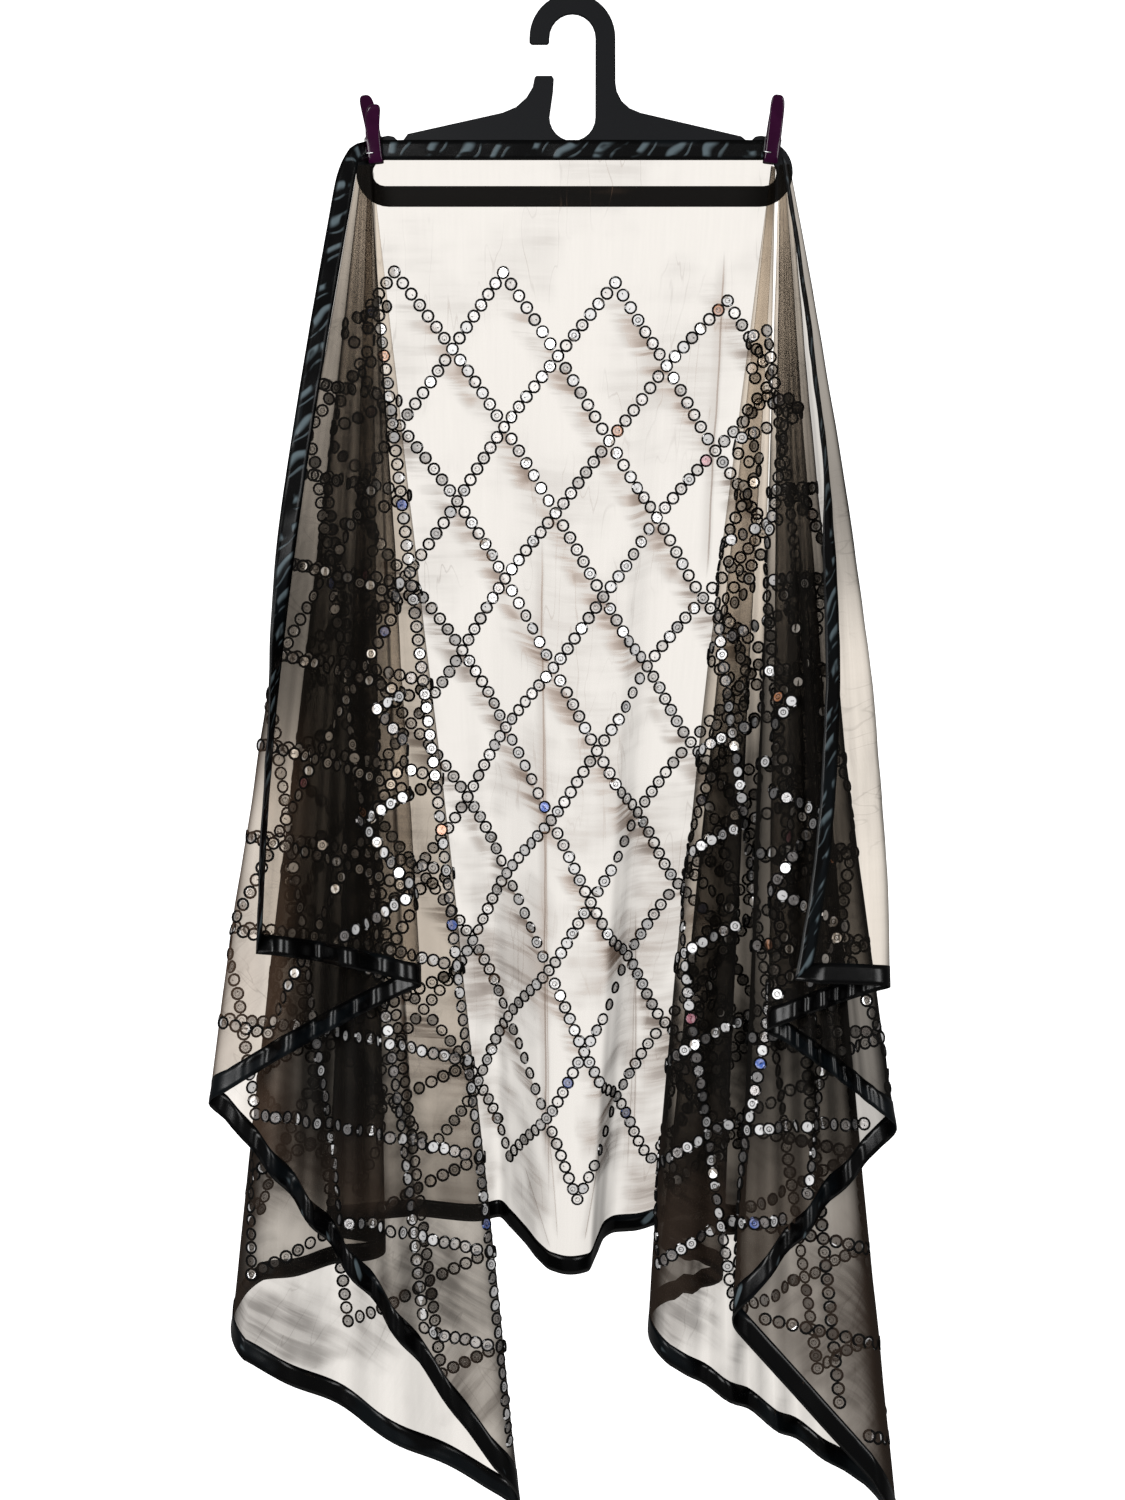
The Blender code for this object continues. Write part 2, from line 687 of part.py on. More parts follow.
def wire_along(name, path, radius, material):
    """A round wire through the points, closed at both ends."""
    points = []
    faces = []
    aside = Vector((0.3, 0.2, 1.0)).normalized()
    for index, here in enumerate(path):
        run = (path[min(index + 1, len(path) - 1)] - path[max(index - 1, 0)]).normalized()
        aside = (aside - run * aside.dot(run)).normalized()
        other = run.cross(aside)
        for side in range(WIRE_SIDES):
            angle = 2 * math.pi * side / WIRE_SIDES
            points.append(here + radius * (aside * math.cos(angle) + other * math.sin(angle)))
    for index in range(len(path) - 1):
        for side in range(WIRE_SIDES):
            a = index * WIRE_SIDES + side
            b = index * WIRE_SIDES + (side + 1) % WIRE_SIDES
            faces.append((a, b, b + WIRE_SIDES, a + WIRE_SIDES))
    faces.append(tuple(range(WIRE_SIDES - 1, -1, -1)))
    faces.append(tuple(range(len(points) - WIRE_SIDES, len(points))))
    item = new_node(name, points, faces, material)
    shape = bmesh.new()
    shape.from_mesh(item.data)
    bmesh.ops.triangulate(shape, faces=shape.faces)
    bmesh.ops.recalc_face_normals(shape, faces=shape.faces)
    shape.to_mesh(item.data)
    shape.free()
    return item


def spring_arm(peg, side, gap):
    """The arm that lies over one lever, from its hooked end to the coil."""
    run_past = PEG_WIDTH / 2 + WIRE + SEAM
    return [
        peg.place(-side * (run_past + row.beside * MM), side * (gap + row.out * MM), row.up * MM)
        for row in SPRING_ARM
    ]


def peg_spring(name, peg, front_gap, back_gap, material):
    """A coil between the levers, with an arm over the outside of each."""
    steps = round(COIL_TURNS * COIL_STEPS)
    coil = []
    for step in range(steps + 1):
        angle = math.radians(-90.0) + 2 * math.pi * COIL_TURNS * step / steps
        across = PEG_WIDTH / 2 - PEG_WIDTH * step / steps
        out = COIL_RADIUS * math.sin(angle)
        coil.append(peg.place(across, out, COIL_UP + COIL_RADIUS * math.cos(angle)))
    back_arm = spring_arm(peg, -1.0, back_gap)
    front_arm = spring_arm(peg, 1.0, front_gap)
    return wire_along(name, back_arm + coil + front_arm[::-1], WIRE, material)


clear_scene()

net = plain_material("net", (0.035, 0.033, 0.034), 0.7)
ribbon = plain_material("ribbon", (0.012, 0.013, 0.016), 0.3)
hanger_black = plain_material("hanger_black", (0.022, 0.024, 0.024), 0.45)
peg_purple = plain_material("peg_purple", (0.090, 0.018, 0.095), 0.3)
spring_wire = plain_material("spring_wire", (0.55, 0.55, 0.56), 0.3, 1.0)

plate_from_outline("hanger", hanger_outline(), [slot_outline()], HANGER_HALF_THICK, hanger_black, RIM_BEVEL)

net_of_fall("net_left_fall", LEFT_FALL, net)
net_of_fall("net_right_fall", RIGHT_FALL, net)
panel_low = CLOTH_WIDTH - RIBBON - SEAM
panel_sheet("net_centre", PANEL_COLUMNS, PANEL_ROWS, RIBBON + SEAM, panel_low, NET_WALL, net)
panel_sheet("ribbon_top_centre", TOP_RIBBON_COLUMNS, 1, 0.0, RIBBON - SEAM, RIBBON_WALL, ribbon)
panel_sheet("ribbon_hem_centre", PANEL_COLUMNS, 1, CLOTH_WIDTH - RIBBON, CLOTH_WIDTH, RIBBON_WALL, ribbon)
hem_ribbon("ribbon_hem_left", LEFT_FALL, ribbon)
hem_ribbon("ribbon_hem_right", RIGHT_FALL, ribbon)
end_ribbon("ribbon_end_left", LEFT_FALL, ribbon)
end_ribbon("ribbon_end_right", RIGHT_FALL, ribbon)
free_top_ribbon("ribbon_top_left", LEFT_FALL, ribbon)
free_top_ribbon("ribbon_top_right", RIGHT_FALL, ribbon)

left_peg_x = LEFT_PEG_X + LEFT_PEG_ASIDE
right_peg_x = LEFT_PEG_X + PEG_SPACING + RIGHT_PEG_ASIDE
jaw_front_gap = -CLOTH_Y + RIBBON_WALL / 2 + SEAM
jaw_back_gap = HANGER_HALF_THICK + SEAM
for word, x, lean, turn, dip in (
    ("left", left_peg_x, LEFT_PEG_LEAN, LEFT_PEG_TURN, LEFT_PEG_DIP),
    ("right", right_peg_x, RIGHT_PEG_LEAN, RIGHT_PEG_TURN, RIGHT_PEG_DIP),
):
    peg = Peg(x, lean, turn, dip)
    peg_lever("peg_" + word + "_front", peg, 1.0, jaw_front_gap, peg_purple)
    peg_lever("peg_" + word + "_back", peg, -1.0, jaw_back_gap, peg_purple)
    peg_spring("peg_" + word + "_spring", peg, jaw_front_gap, jaw_back_gap, spring_wire)
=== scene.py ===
"""A sequinned net dupatta with satin edges, pegged to a black trouser hanger."""

import math
import random
from collections import namedtuple

import bmesh
import bpy
from mathutils import Matrix, Vector, noise


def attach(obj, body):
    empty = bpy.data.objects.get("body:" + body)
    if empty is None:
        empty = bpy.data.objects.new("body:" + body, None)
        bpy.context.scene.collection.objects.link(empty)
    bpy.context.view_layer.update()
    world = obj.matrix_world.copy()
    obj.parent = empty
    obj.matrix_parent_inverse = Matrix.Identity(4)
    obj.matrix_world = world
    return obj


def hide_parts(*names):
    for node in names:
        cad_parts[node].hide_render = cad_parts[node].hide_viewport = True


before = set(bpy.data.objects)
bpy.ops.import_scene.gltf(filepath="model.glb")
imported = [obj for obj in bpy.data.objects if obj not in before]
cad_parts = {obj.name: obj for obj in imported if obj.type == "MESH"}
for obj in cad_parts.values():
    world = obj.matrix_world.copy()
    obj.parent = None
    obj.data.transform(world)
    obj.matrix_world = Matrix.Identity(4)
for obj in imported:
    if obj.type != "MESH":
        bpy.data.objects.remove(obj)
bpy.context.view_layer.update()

MM = 0.001

# The cut of the cloth, and where it hangs.
CLOTH_WIDTH = 1.081
LEFT_LENGTH = 0.759
PEG_SPACING = 0.384
RIGHT_LENGTH = 0.782
RIBBON = 0.0185
LEFT_PEG_X = -0.195
CLOTH_Y = -0.0040
CLOTH_TOP_Z = -0.1165

# The neck, where a peg gathers the cloth: how far from its middle the falls start, how far a
# line's start moves ahead for each radian that it leans, and how far the turns are set aside in
# mm. The left ribbon rises out of its jaw from JAW_SIDE beside it, over LEFT_RISE of cloth.
NECK = 0.007
NECK_REACH = 0.079
NECK_TURN = 1.0
LEFT_RISE = 0.055
JAW_SIDE = 0.0045

# The turns of the folds: half their width in degrees, and how finely they are worked out.
TURN_SIDE = 1.0
ARCS_TRIED = 60
HALVINGS = 24
TURN_STEPS = 8
LAST_RAY = 89.0

# cloth_angle is measured in the cloth round the peg, from the drop below it to the top edge.
# side_top, side_end and ahead are where that line of cloth hangs, in degrees from straight down.
# turn is how far the cloth goes round there, neck_side is its place in the jaw in mm, and
# ripples counts the waves in the cloth since the fold before.
Fold = namedtuple("Fold", "cloth_angle side_top side_end ahead turn neck_side ripples")

LEFT_FOLDS = (
    Fold(0.0, 1.2, 1.6, 0.0, 0.0, 0.0, 0),
    Fold(5.2, -2.6, -3.0, 1.5, 1.6, -3.0, 0),
    Fold(9.4, 0.2, 0.2, 3.1, 1.6, 0.0, 0),
    Fold(19.4, -6.8, -6.7, 6.6, 5.4, -8.0, 1),
    Fold(36.0, 6.6, 6.4, 8.9, 1.8, 1.0, 2),
    Fold(57.0, -9.8, -8.8, 11.9, 1.8, -10.0, 6),
    Fold(75.0, 4.2, 4.0, 13.8, 1.8, 0.0, 4),
    Fold(90.0, -9.4, -6.4, 14.9, 0.0, -10.0, 2),
)
RIGHT_FOLDS = (
    Fold(0.0, -3.6, -4.2, 0.0, 0.0, 2.0, 0),
    Fold(4.2, -0.6, -1.0, 1.4, 1.5, 4.0, 0),
    Fold(9.5, -5.6, -5.4, 2.9, 1.5, 0.0, 1),
    Fold(14.0, -2.6, -2.4, 4.4, 1.5, 4.0, 1),
    Fold(20.7, -7.4, -6.0, 7.1, 4.0, 0.0, 2),
    Fold(36.3, 4.0, 4.7, 9.8, 4.0, 11.0, 4),
    Fold(45.5, -2.0, -2.6, 11.8, 1.7, 6.0, 2),
    Fold(58.3, 4.6, 5.9, 14.2, 3.0, 14.0, 3),
    Fold(71.5, -1.2, -1.5, 15.8, 1.8, 6.0, 4),
    Fold(82.5, 9.6, 6.1, 17.4, 1.8, 14.0, 3),
    Fold(90.0, 8.0, 0.7, 18.4, 0.0, 11.0, 0),
)

# The free top ribbon turns about its length: where it faces, in degrees from +X, along the fall.
Twist = namedtuple("Twist", "share facing")

LEFT_TWIST = (
    Twist(0.0, 180.0),
    Twist(0.4, 172.0),
    Twist(0.58, 135.0),
    Twist(0.75, 100.0),
    Twist(1.0, 95.0),
)
RIGHT_TWIST = (
    Twist(0.0, 105.0),
    Twist(0.4, 110.0),
    Twist(0.52, 136.0),
    Twist(1.0, 142.0),
)

# Centre panel: where each upright line of cloth ends at the hem. along is from the left peg,
# inward is its sideways drift, ahead is towards the front and drop is extra length, in mm.
Line = namedtuple("Line", "along inward ahead drop")

PANEL_LINES = (
    Line(60.0, 34.0, 14.0, 0.0),
    Line(100.0, 17.0, 2.0, 0.0),
    Line(125.0, 4.0, 14.0, 6.0),
    Line(150.0, -6.0, 32.0, 16.0),
    Line(170.0, -13.0, 48.0, 27.0),
    Line(192.0, -21.0, 58.0, 35.0),
    Line(232.0, -41.0, 62.0, 38.0),
    Line(262.0, -53.0, 56.0, 37.0),
    Line(277.0, -60.0, 40.0, 27.0),
    Line(292.0, -66.0, 22.0, 15.0),
    Line(310.0, -73.0, 12.0, 13.0),
    Line(339.0, -84.0, 8.0, 13.0),
)

# Fold lines in the centre net, in metres of cloth along from the left peg and down from the top.
Pleat = namedtuple("Pleat", "top_along top_down low_along low_down wide dark")

PLEATS = (
    Pleat(0.166, 0.36, 0.180, 0.98, 0.0016, 1.0),
    Pleat(0.171, 0.52, 0.186, 1.02, 0.0010, 0.7),
    Pleat(0.176, 0.90, 0.203, 1.05, 0.0012, 0.6),
    Pleat(0.300, 0.74, 0.330, 1.00, 0.0014, 0.8),
    Pleat(0.306, 0.80, 0.322, 1.02, 0.0010, 0.6),
    Pleat(0.345, 0.10, 0.352, 0.42, 0.0014, 1.0),
    Pleat(0.148, 1.00, 0.190, 1.06, 0.0012, 0.5),
    Pleat(0.270, 0.96, 0.252, 1.05, 0.0012, 0.8),
)

# Finer steps than the solids have.
PANEL_COLUMNS = 160
NET_ROWS = 64
ROW_CROWDING = 1.25
ANGLE_STEP = 0.34
RIBBON_ROWS = 4
RIBBON_STEP = 0.0045
PANEL_FINER = 1.4
RIBBON_THICK = 0.0010

# How the soft net creases, as waves of the cloth in mm.
BROAD_CREASE = 1.6
BROAD_SCALE = 9.0
FINE_CREASE = 0.45
FINE_SCALE = 34.0
CREASE_REACH = 0.45

# The sequin lattice: crossing chains, seven sequins from one crossing to the next.
CELL_ALONG = 0.107
CELL_DOWN = 0.147
FIRST_ALONG = 0.018
FIRST_DOWN = 0.124
LATTICE_ROWS = 12
BETWEEN_CROSSINGS = 7
LATTICE_SAG = 0.026
SAG_FROM = 0.14
SAG_REACH = 0.2
SAG_POWER = 1.8
LATTICE_STRETCH = 0.012
# How far apart the painted glints come on gathered satin, in metres.
PAINTED_GLINT_PITCH = 0.034
SEQUIN_RADIUS = 0.0050
SEQUIN_HOLE = 0.0006
THREAD_RING = 0.0054
THREAD_RADIUS = 0.00130
SEQUIN_OFF_NET = 0.0006
SEQUIN_TILT = 7.0
SEQUIN_SIDES = 12
THREAD_SIDES = 3
SEQUIN_CLEAR = 0.016
SAG_MOST = 1.3
FIRST_SEED = 11

# How often each kind of sequin film comes, each share counted up from 0 with those before it.
BLUE_UP_TO = 0.010
PINK_UP_TO = 0.015
ORANGE_UP_TO = 0.020
# White and grey film is painted light: clear film shown catching the light fully or in part.
PAINTED_LIGHT_UP_TO = 0.46
PAINTED_HALF_LIGHT_UP_TO = 0.64

# The net: how much light one layer lets through, and the warm tint of what comes through.
LAYER_LETS_THROUGH = 0.65
THINNEST = 0.25
NET_TINT = (1.0, 0.955, 0.90)
NET_BLACK = (0.005, 0.0042, 0.0034)
# The brown of piled-up net. The painted shade on the net takes this brown as well.
NET_PILED_AND_SHADE_BROWN = (0.17, 0.105, 0.07)
NET_EDGE_ON = 0.25

# Zones of the falls where the net shows darker or clearer, by its angle round the peg in radians
# and its reach from the peg in metres. Each pair is a run over which the zone fades in or out.
Zone = namedtuple("Zone", "angle_in angle_out reach_in reach_out")

FULL_LEFT = Zone((0.72, 0.80), (0.96, 1.04), (0.30, 0.48), (0.90, 1.04))
FULL_LEFT_INNER = Zone((0.36, 0.40), (0.48, 0.54), (0.30, 0.48), (0.90, 1.04))
EDGE_LEFT = Zone((0.48, 0.56), (0.70, 0.78), None, (0.86, 1.00))
OUTER_LEFT = Zone((1.00, 1.08), None, (0.26, 0.36), None)
RIM_LEFT = Zone((0.86, 0.94), (1.06, 1.14), (0.50, 0.64), None)
FULL_RIGHT = Zone(None, (0.34, 0.42), (0.44, 0.70), None)
EDGE_RIGHT = Zone((0.26, 0.32), (0.41, 0.47), None, (0.80, 0.95))
INNER_RIGHT = Zone(None, (0.60, 0.68), None, (0.40, 0.62))
MIDDLE_RIGHT = Zone((0.56, 0.64), (1.16, 1.24), (0.34, 0.50), None)
OUTER_RIGHT = Zone((1.25, 1.33), None, None, None)
ALONE = Zone((1.20, 1.30), None, None, (0.30, 0.50))
LOW_LEG = (0.88, 1.02)


# ---------------------------------------------------------------- shader kit


class Value:
    """A number socket that sums can be written with."""

    def __init__(self, finish, socket):
        self.finish = finish
        self.socket = socket

    def math(self, operation, *others):
        inputs = {0: self}
        for place, other in enumerate(others):
            inputs[place + 1] = other
        node = self.finish.node("ShaderNodeMath", {"operation": operation}, inputs)
        return Value(self.finish, node.outputs[0])

    def swapped(self, operation, first):
        node = self.finish.node("ShaderNodeMath", {"operation": operation}, {0: first, 1: self})
        return Value(self.finish, node.outputs[0])

    def __add__(self, other):
        return self.math("ADD", other)

    def __radd__(self, other):
        return self.swapped("ADD", other)

    def __sub__(self, other):
        return self.math("SUBTRACT", other)

    def __rsub__(self, other):
        return self.swapped("SUBTRACT", other)

    def __mul__(self, other):
        return self.math("MULTIPLY", other)

    def __rmul__(self, other):
        return self.swapped("MULTIPLY", other)

    def __truediv__(self, other):
        return self.math("DIVIDE", other)

    def __pow__(self, other):
        return self.math("POWER", other)

    def __rpow__(self, other):
        return self.swapped("POWER", other)

    def __abs__(self):
        return self.math("ABSOLUTE")

    def least(self, other):
        return self.math("MINIMUM", other)

    def most(self, other):
        return self.math("MAXIMUM", other)

    def spread(self, low, high, to_low=0.0, to_high=1.0, smooth=True):
        """This value's run from low to high, as a run from to_low to to_high."""
        settings = {"interpolation_type": "SMOOTHSTEP" if smooth else "LINEAR", "clamp": True}
        inputs = {
            "Value": self,
            "From Min": low,
            "From Max": high,
            "To Min": to_low,
            "To Max": to_high,
        }
        node = self.finish.node("ShaderNodeMapRange", settings, inputs)
        return Value(self.finish, node.outputs[0])


class Finish:
    """One material, and a short way to add nodes to it."""

    def __init__(self, name):
        self.material = bpy.data.materials.new(name)
        self.material.use_nodes = True
        self.tree = self.material.node_tree
        self.shader = self.tree.nodes["Principled BSDF"]
        self.output = self.tree.nodes["Material Output"]

    def node(self, kind, settings=None, inputs=None):
        """A node of this kind. Its settings come first, then the values or links of its sockets."""
        made = self.tree.nodes.new(kind)
        for name, value in (settings or {}).items():
            setattr(made, name, value)
        for key, value in (inputs or {}).items():
            self.feed(made.inputs[key], value)
        return made

    def feed(self, socket, value):
        if isinstance(value, Value):
            value = value.socket
        if isinstance(value, bpy.types.NodeSocket):
            self.tree.links.new(value, socket)
        elif socket.type == "RGBA" and len(value) == 3:
            socket.default_value = (*value, 1.0)
        else:
            socket.default_value = value

    def number(self, node, name):
        return Value(self, node.outputs[name])

    def surface(self, **values):
        """Values or links for the main shader, by socket names with _ for a space."""
        for name, value in values.items():
            self.feed(self.shader.inputs[name.replace("_", " ")], value)

    def attribute(self, name):
        return self.node("ShaderNodeAttribute", {"attribute_name": name})

    def uv(self):
        """The piece's own map, as two numbers."""
        made = self.node("ShaderNodeUVMap", {"uv_map": "cut"})
        parts = self.node("ShaderNodeSeparateXYZ", {}, {0: made.outputs["UV"]})
        return self.number(parts, "X"), self.number(parts, "Y")

    def point(self, x, y, z=0.0):
        return self.node("ShaderNodeCombineXYZ", {}, {"X": x, "Y": y, "Z": z}).outputs[0]

    def object_place(self):
        return self.node("ShaderNodeTexCoord").outputs["Object"]

    def noise(self, vector, scale, detail=2.0, rough=0.5, distortion=0.0):
        inputs = {
            "Vector": vector,
            "Scale": scale,
            "Detail": detail,
            "Roughness": rough,
            "Distortion": distortion,
        }
        return self.number(self.node("ShaderNodeTexNoise", {}, inputs), "Fac")

    def mix(self, share, first, second):
        """A colour between two, by share."""
        settings = {"data_type": "RGBA", "blend_type": "MIX"}
        made = self.node("ShaderNodeMix", settings)
        self.feed(made.inputs["Factor"], share)
        colours = [socket for socket in made.inputs if socket.type == "RGBA"]
        self.feed(colours[0], first)
        self.feed(colours[1], second)
        return [socket for socket in made.outputs if socket.type == "RGBA"][0]

    def bump(self, height, distance, strength=1.0):
        inputs = {"Height": height, "Distance": distance, "Strength": strength}
        return self.node("ShaderNodeBump", {}, inputs).outputs[0]


# ---------------------------------------------------------------- finishes


def inside(zone, side, angle, reach):
    """How far the cloth is inside a zone, from 0 to 1. side is 1 in the fall that has the zone."""
    share = side
    fades = ((angle, zone.angle_in, zone.angle_out), (reach, zone.reach_in, zone.reach_out))
    for value, fade_in, fade_out in fades:
        if fade_in:
            share = share * value.spread(*fade_in)
        if fade_out:
            share = share * (1 - value.spread(*fade_out))
    return share


def net_finish():
    """Soft black net: a layer lets two thirds of the light through, and piled up it is browner. The
    painted shade on it, beside the chains and in a haze towards the hem, turns brown too.
    """
    made = Finish("black_net")
    along, down = made.uv()
    gathered = made.number(made.attribute("gather"), "Fac")
    outside = (along * -1).most(along - PEG_SPACING).most(0.0)
    below = (down - RIBBON).most(0.0)
    angle = outside.math("ARCTAN2", below)
    from_peg = (outside * outside + below * below) ** 0.5
    in_fall = outside.spread(0.0, 0.02)
    in_left = (along * -1).spread(0.0, 0.02)
    in_right = (along - PEG_SPACING).spread(0.0, 0.02)

    pleats = made.noise(made.point(angle * 26, from_peg * 1.5), 1.0, 4.0, 0.62, 0.3)
    streaks = made.noise(made.point(along * 260, down * 14), 1.0, 3.0, 0.6)
    threads = made.noise(made.point(along * 30, down * 900), 1.0, 2.0, 0.5)
    clouds = made.noise(made.point(along * 7, down * 7), 1.0, 3.0, 0.55)
    bands = made.noise(made.point(along * 9, down * 90, 5.0), 1.0, 3.0, 0.6)
    creased = made.noise(made.point(along * 40, down * 7, 3.0), 1.0, 2.0, 0.5, 0.4)
    crease_line = 1 - abs(creased - 0.5).spread(0.0, 0.012)
    # Cloudy darker patches, stronger towards the hem: partly uneven net, partly painted shade.
    haze_and_painted_shade = clouds.spread(0.44, 0.66) * (0.45 + bands.spread(0.4, 0.65) * 0.55)
    haze_and_painted_shade = haze_and_painted_shade * (0.5 + down.spread(0.45, 1.0) * 2.1)
    density = 1.16 + down * 0.16 + streaks * 0.16 + threads * 0.06 + haze_and_painted_shade
    density = density + crease_line * clouds.spread(0.45, 0.62) * 0.6
    density = density + (pleats - 0.5) * in_fall * 1.4
    # Painted shadow of the chains, as denser net beside them in the centre panel.
    density = density + painted_chain_shadow(made, along, down, bands) * (1 - in_fall)
    for pleat in PLEATS:
        density = density + pleat_line(made, along, down, pleat)

    near = 1 - in_fall * (1 - from_peg.spread(0.04, 0.42, 0.42, 1.0))
    full_left = inside(FULL_LEFT, in_left, angle, from_peg)
    full_left = full_left + inside(FULL_LEFT_INNER, in_left, angle, from_peg) * 0.6
    edge_left = inside(EDGE_LEFT, in_left, angle, from_peg)
    outer_left = inside(OUTER_LEFT, in_left, angle, from_peg)
    rim_left = inside(RIM_LEFT, in_left, angle, from_peg)
    full_right = inside(FULL_RIGHT, in_right, angle, from_peg)
    edge_right = inside(EDGE_RIGHT, in_right, angle, from_peg)
    inner_right = inside(INNER_RIGHT, in_right, angle, from_peg)
    middle_right = inside(MIDDLE_RIGHT, in_right, angle, from_peg)
    outer_right = inside(OUTER_RIGHT, in_right, angle, from_peg)
    alone = inside(ALONE, in_fall, angle, from_peg)

    thinner = 1 - outer_left * 0.5 - outer_right * 0.42 - inner_right * 0.5
    thinner = thinner * (1 - edge_left * 0.6 - edge_right * 0.5) * (1 - rim_left * 0.18)
    fuller = full_left * (1 - rim_left) * 2.4 + full_right * (1 - edge_right) * 0.9
    fuller = fuller + middle_right * 1.1
    density = density * near * thinner + fuller + alone * 1.1
    in_high_leg = in_fall * (1 - from_peg.spread(*LOW_LEG) * 0.12)
    # Browner where the net is denser, painted shade included, and along the left rim.
    piled_and_shaded = (1 - in_high_leg) * (density - 1.4).spread(0.0, 1.4) + rim_left * 0.45

    through = LAYER_LETS_THROUGH ** (density.most(THINNEST) * gathered)
    clear = made.node("ShaderNodeBsdfTransparent", {}, {"Color": NET_TINT})
    made.surface(
        Base_Color=made.mix(piled_and_shaded, NET_BLACK, NET_PILED_AND_SHADE_BROWN),
        Roughness=0.8,
        Specular_IOR_Level=0.1,
    )
    shown = made.node(
        "ShaderNodeMixShader",
        {},
        {0: 1 - through, 1: clear.outputs[0], 2: made.shader.outputs[0]},
    )
    made.feed(made.output.inputs["Surface"], shown.outputs[0])
    return made.material


def painted_chain_shadow(made, along, down, bands):
    """Painted shadow beside each chain that runs down to the right, made as denser net there."""
    row = (down - FIRST_DOWN) / CELL_DOWN * 2
    share = ((along - SAG_FROM) / SAG_REACH).most(0.0)
    sag = share.least(SAG_MOST) ** SAG_POWER * (1 - row / LATTICE_ROWS).most(0.0) * LATTICE_SAG
    even = along - share.least(1.0) * LATTICE_STRETCH
    across = (even - FIRST_ALONG) / CELL_ALONG - (down - sag - FIRST_DOWN) / CELL_DOWN
    place = across.math("FRACT")
    beside = place.spread(0.66, 0.955) * (1 - place.spread(0.97, 1.0))
    patchy = made.noise(made.point(along * 16, down * 16, 8.0), 1.0, 2.0, 0.5)
    patches = 0.25 + patchy.spread(0.38, 0.56)
    reach = row.spread(0.0, 1.0) * (1 - row.spread(LATTICE_ROWS - 1.0, LATTICE_ROWS))
    return beside * (0.2 + bands.spread(0.42, 0.6)) * patches * reach * 2.2


def pleat_line(made, along, down, pleat):
    """A thin dark fold line in the net, with a soft shadow to one side of it."""
    share = (down - pleat.top_down) / (pleat.low_down - pleat.top_down)
    wander = made.noise(made.point(down * 9, pleat.top_along * 50), 1.0, 2.0, 0.5) - 0.5
    aside = along - pleat.top_along - (share * (pleat.low_along - pleat.top_along)) - wander * 0.006
    ends = share.spread(0.0, 0.12) * (1 - share.spread(0.88, 1.0))
    line = 1 - abs(aside).spread(0.0, pleat.wide)
    soft = aside.spread(-0.012, 0.0) * (1 - aside.spread(0.0, 0.004))
    return (line * 1.8 + soft * 0.5) * ends * pleat.dark


def satin_finish(name, gathered):
    """Black satin ribbon, ribbed finely across. Its pale blue-grey glints and teal sheen are
    painted highlights in its colour, at a steady pitch on gathered satin and scattered on plain.
    """
    made = Finish(name)
    along, across = made.uv()
    ribs = made.noise(made.point(along * 1400, across * 60), 1.0, 2.0, 0.5)
    slanted = along + across * 0.007
    puckered = made.noise(made.point(slanted * 12, across * 0.4), 1.0, 2.0, 0.5, 0.3)
    lift = puckered.spread(0.54, 0.62)
    # Painted sheen: teal patches in the satin's colour, which are also a little rougher and lifted.
    painted_sheen_patches = made.noise(made.point(along * 8, across * 0.6, 7.0), 1.0, 2.0, 0.5).spread(0.50, 0.60)
    edge = abs(across - 0.5).spread(0.42, 0.49)
    # Painted highlights: pale glints set into the colour, at a steady pitch on gathered satin and
    # scattered on plain satin. They lift the bump a little too.
    if gathered:
        wander = made.noise(made.point(along * 26, across * 0.5, 2.0), 1.0, 1.0, 0.5)
        place = (slanted / PAINTED_GLINT_PITCH + wander + across * 0.16).math("FRACT")
        wide = place.spread(0.10, 0.20) * (1 - place.spread(0.26, 0.44))
        narrow = place.spread(0.56, 0.60) * (1 - place.spread(0.62, 0.68)) * 0.6
        some = made.noise(made.point(along * 30, across * 1.3, 11.0), 1.0, 2.0, 0.5)
        within = 1 - abs(across - 0.5).spread(0.26, 0.44)
        painted_glints = wide.most(narrow) * some.spread(0.42, 0.54) * within
    else:
        narrow = made.noise(made.point(slanted * 36, across * 0.8, 4.0), 1.0, 1.0, 0.5, 0.1)
        some = made.noise(made.point(along * 8, across * 0.6, 9.0), 1.0, 2.0, 0.5)
        painted_glints = narrow.spread(0.60, 0.66) * some.spread(0.58, 0.66)
    # The satin's colour: black with the painted teal sheen, then the painted glints on top.
    satin = made.mix(painted_sheen_patches, (0.0008, 0.0008, 0.0009), (0.0018, 0.0030, 0.0040))
    height = lift * (0.05 + painted_sheen_patches * 0.45) + painted_glints * 0.12 + ribs * 0.03 - edge * 0.15
    made.surface(
        Base_Color=made.mix(painted_glints, satin, (0.085, 0.112, 0.125)),
        Roughness=0.24 + painted_sheen_patches * 0.08 + edge * 0.2,
        Specular_IOR_Level=0.2,
        Normal=made.bump(height, 0.0014, 0.9),
    )
    return made.material


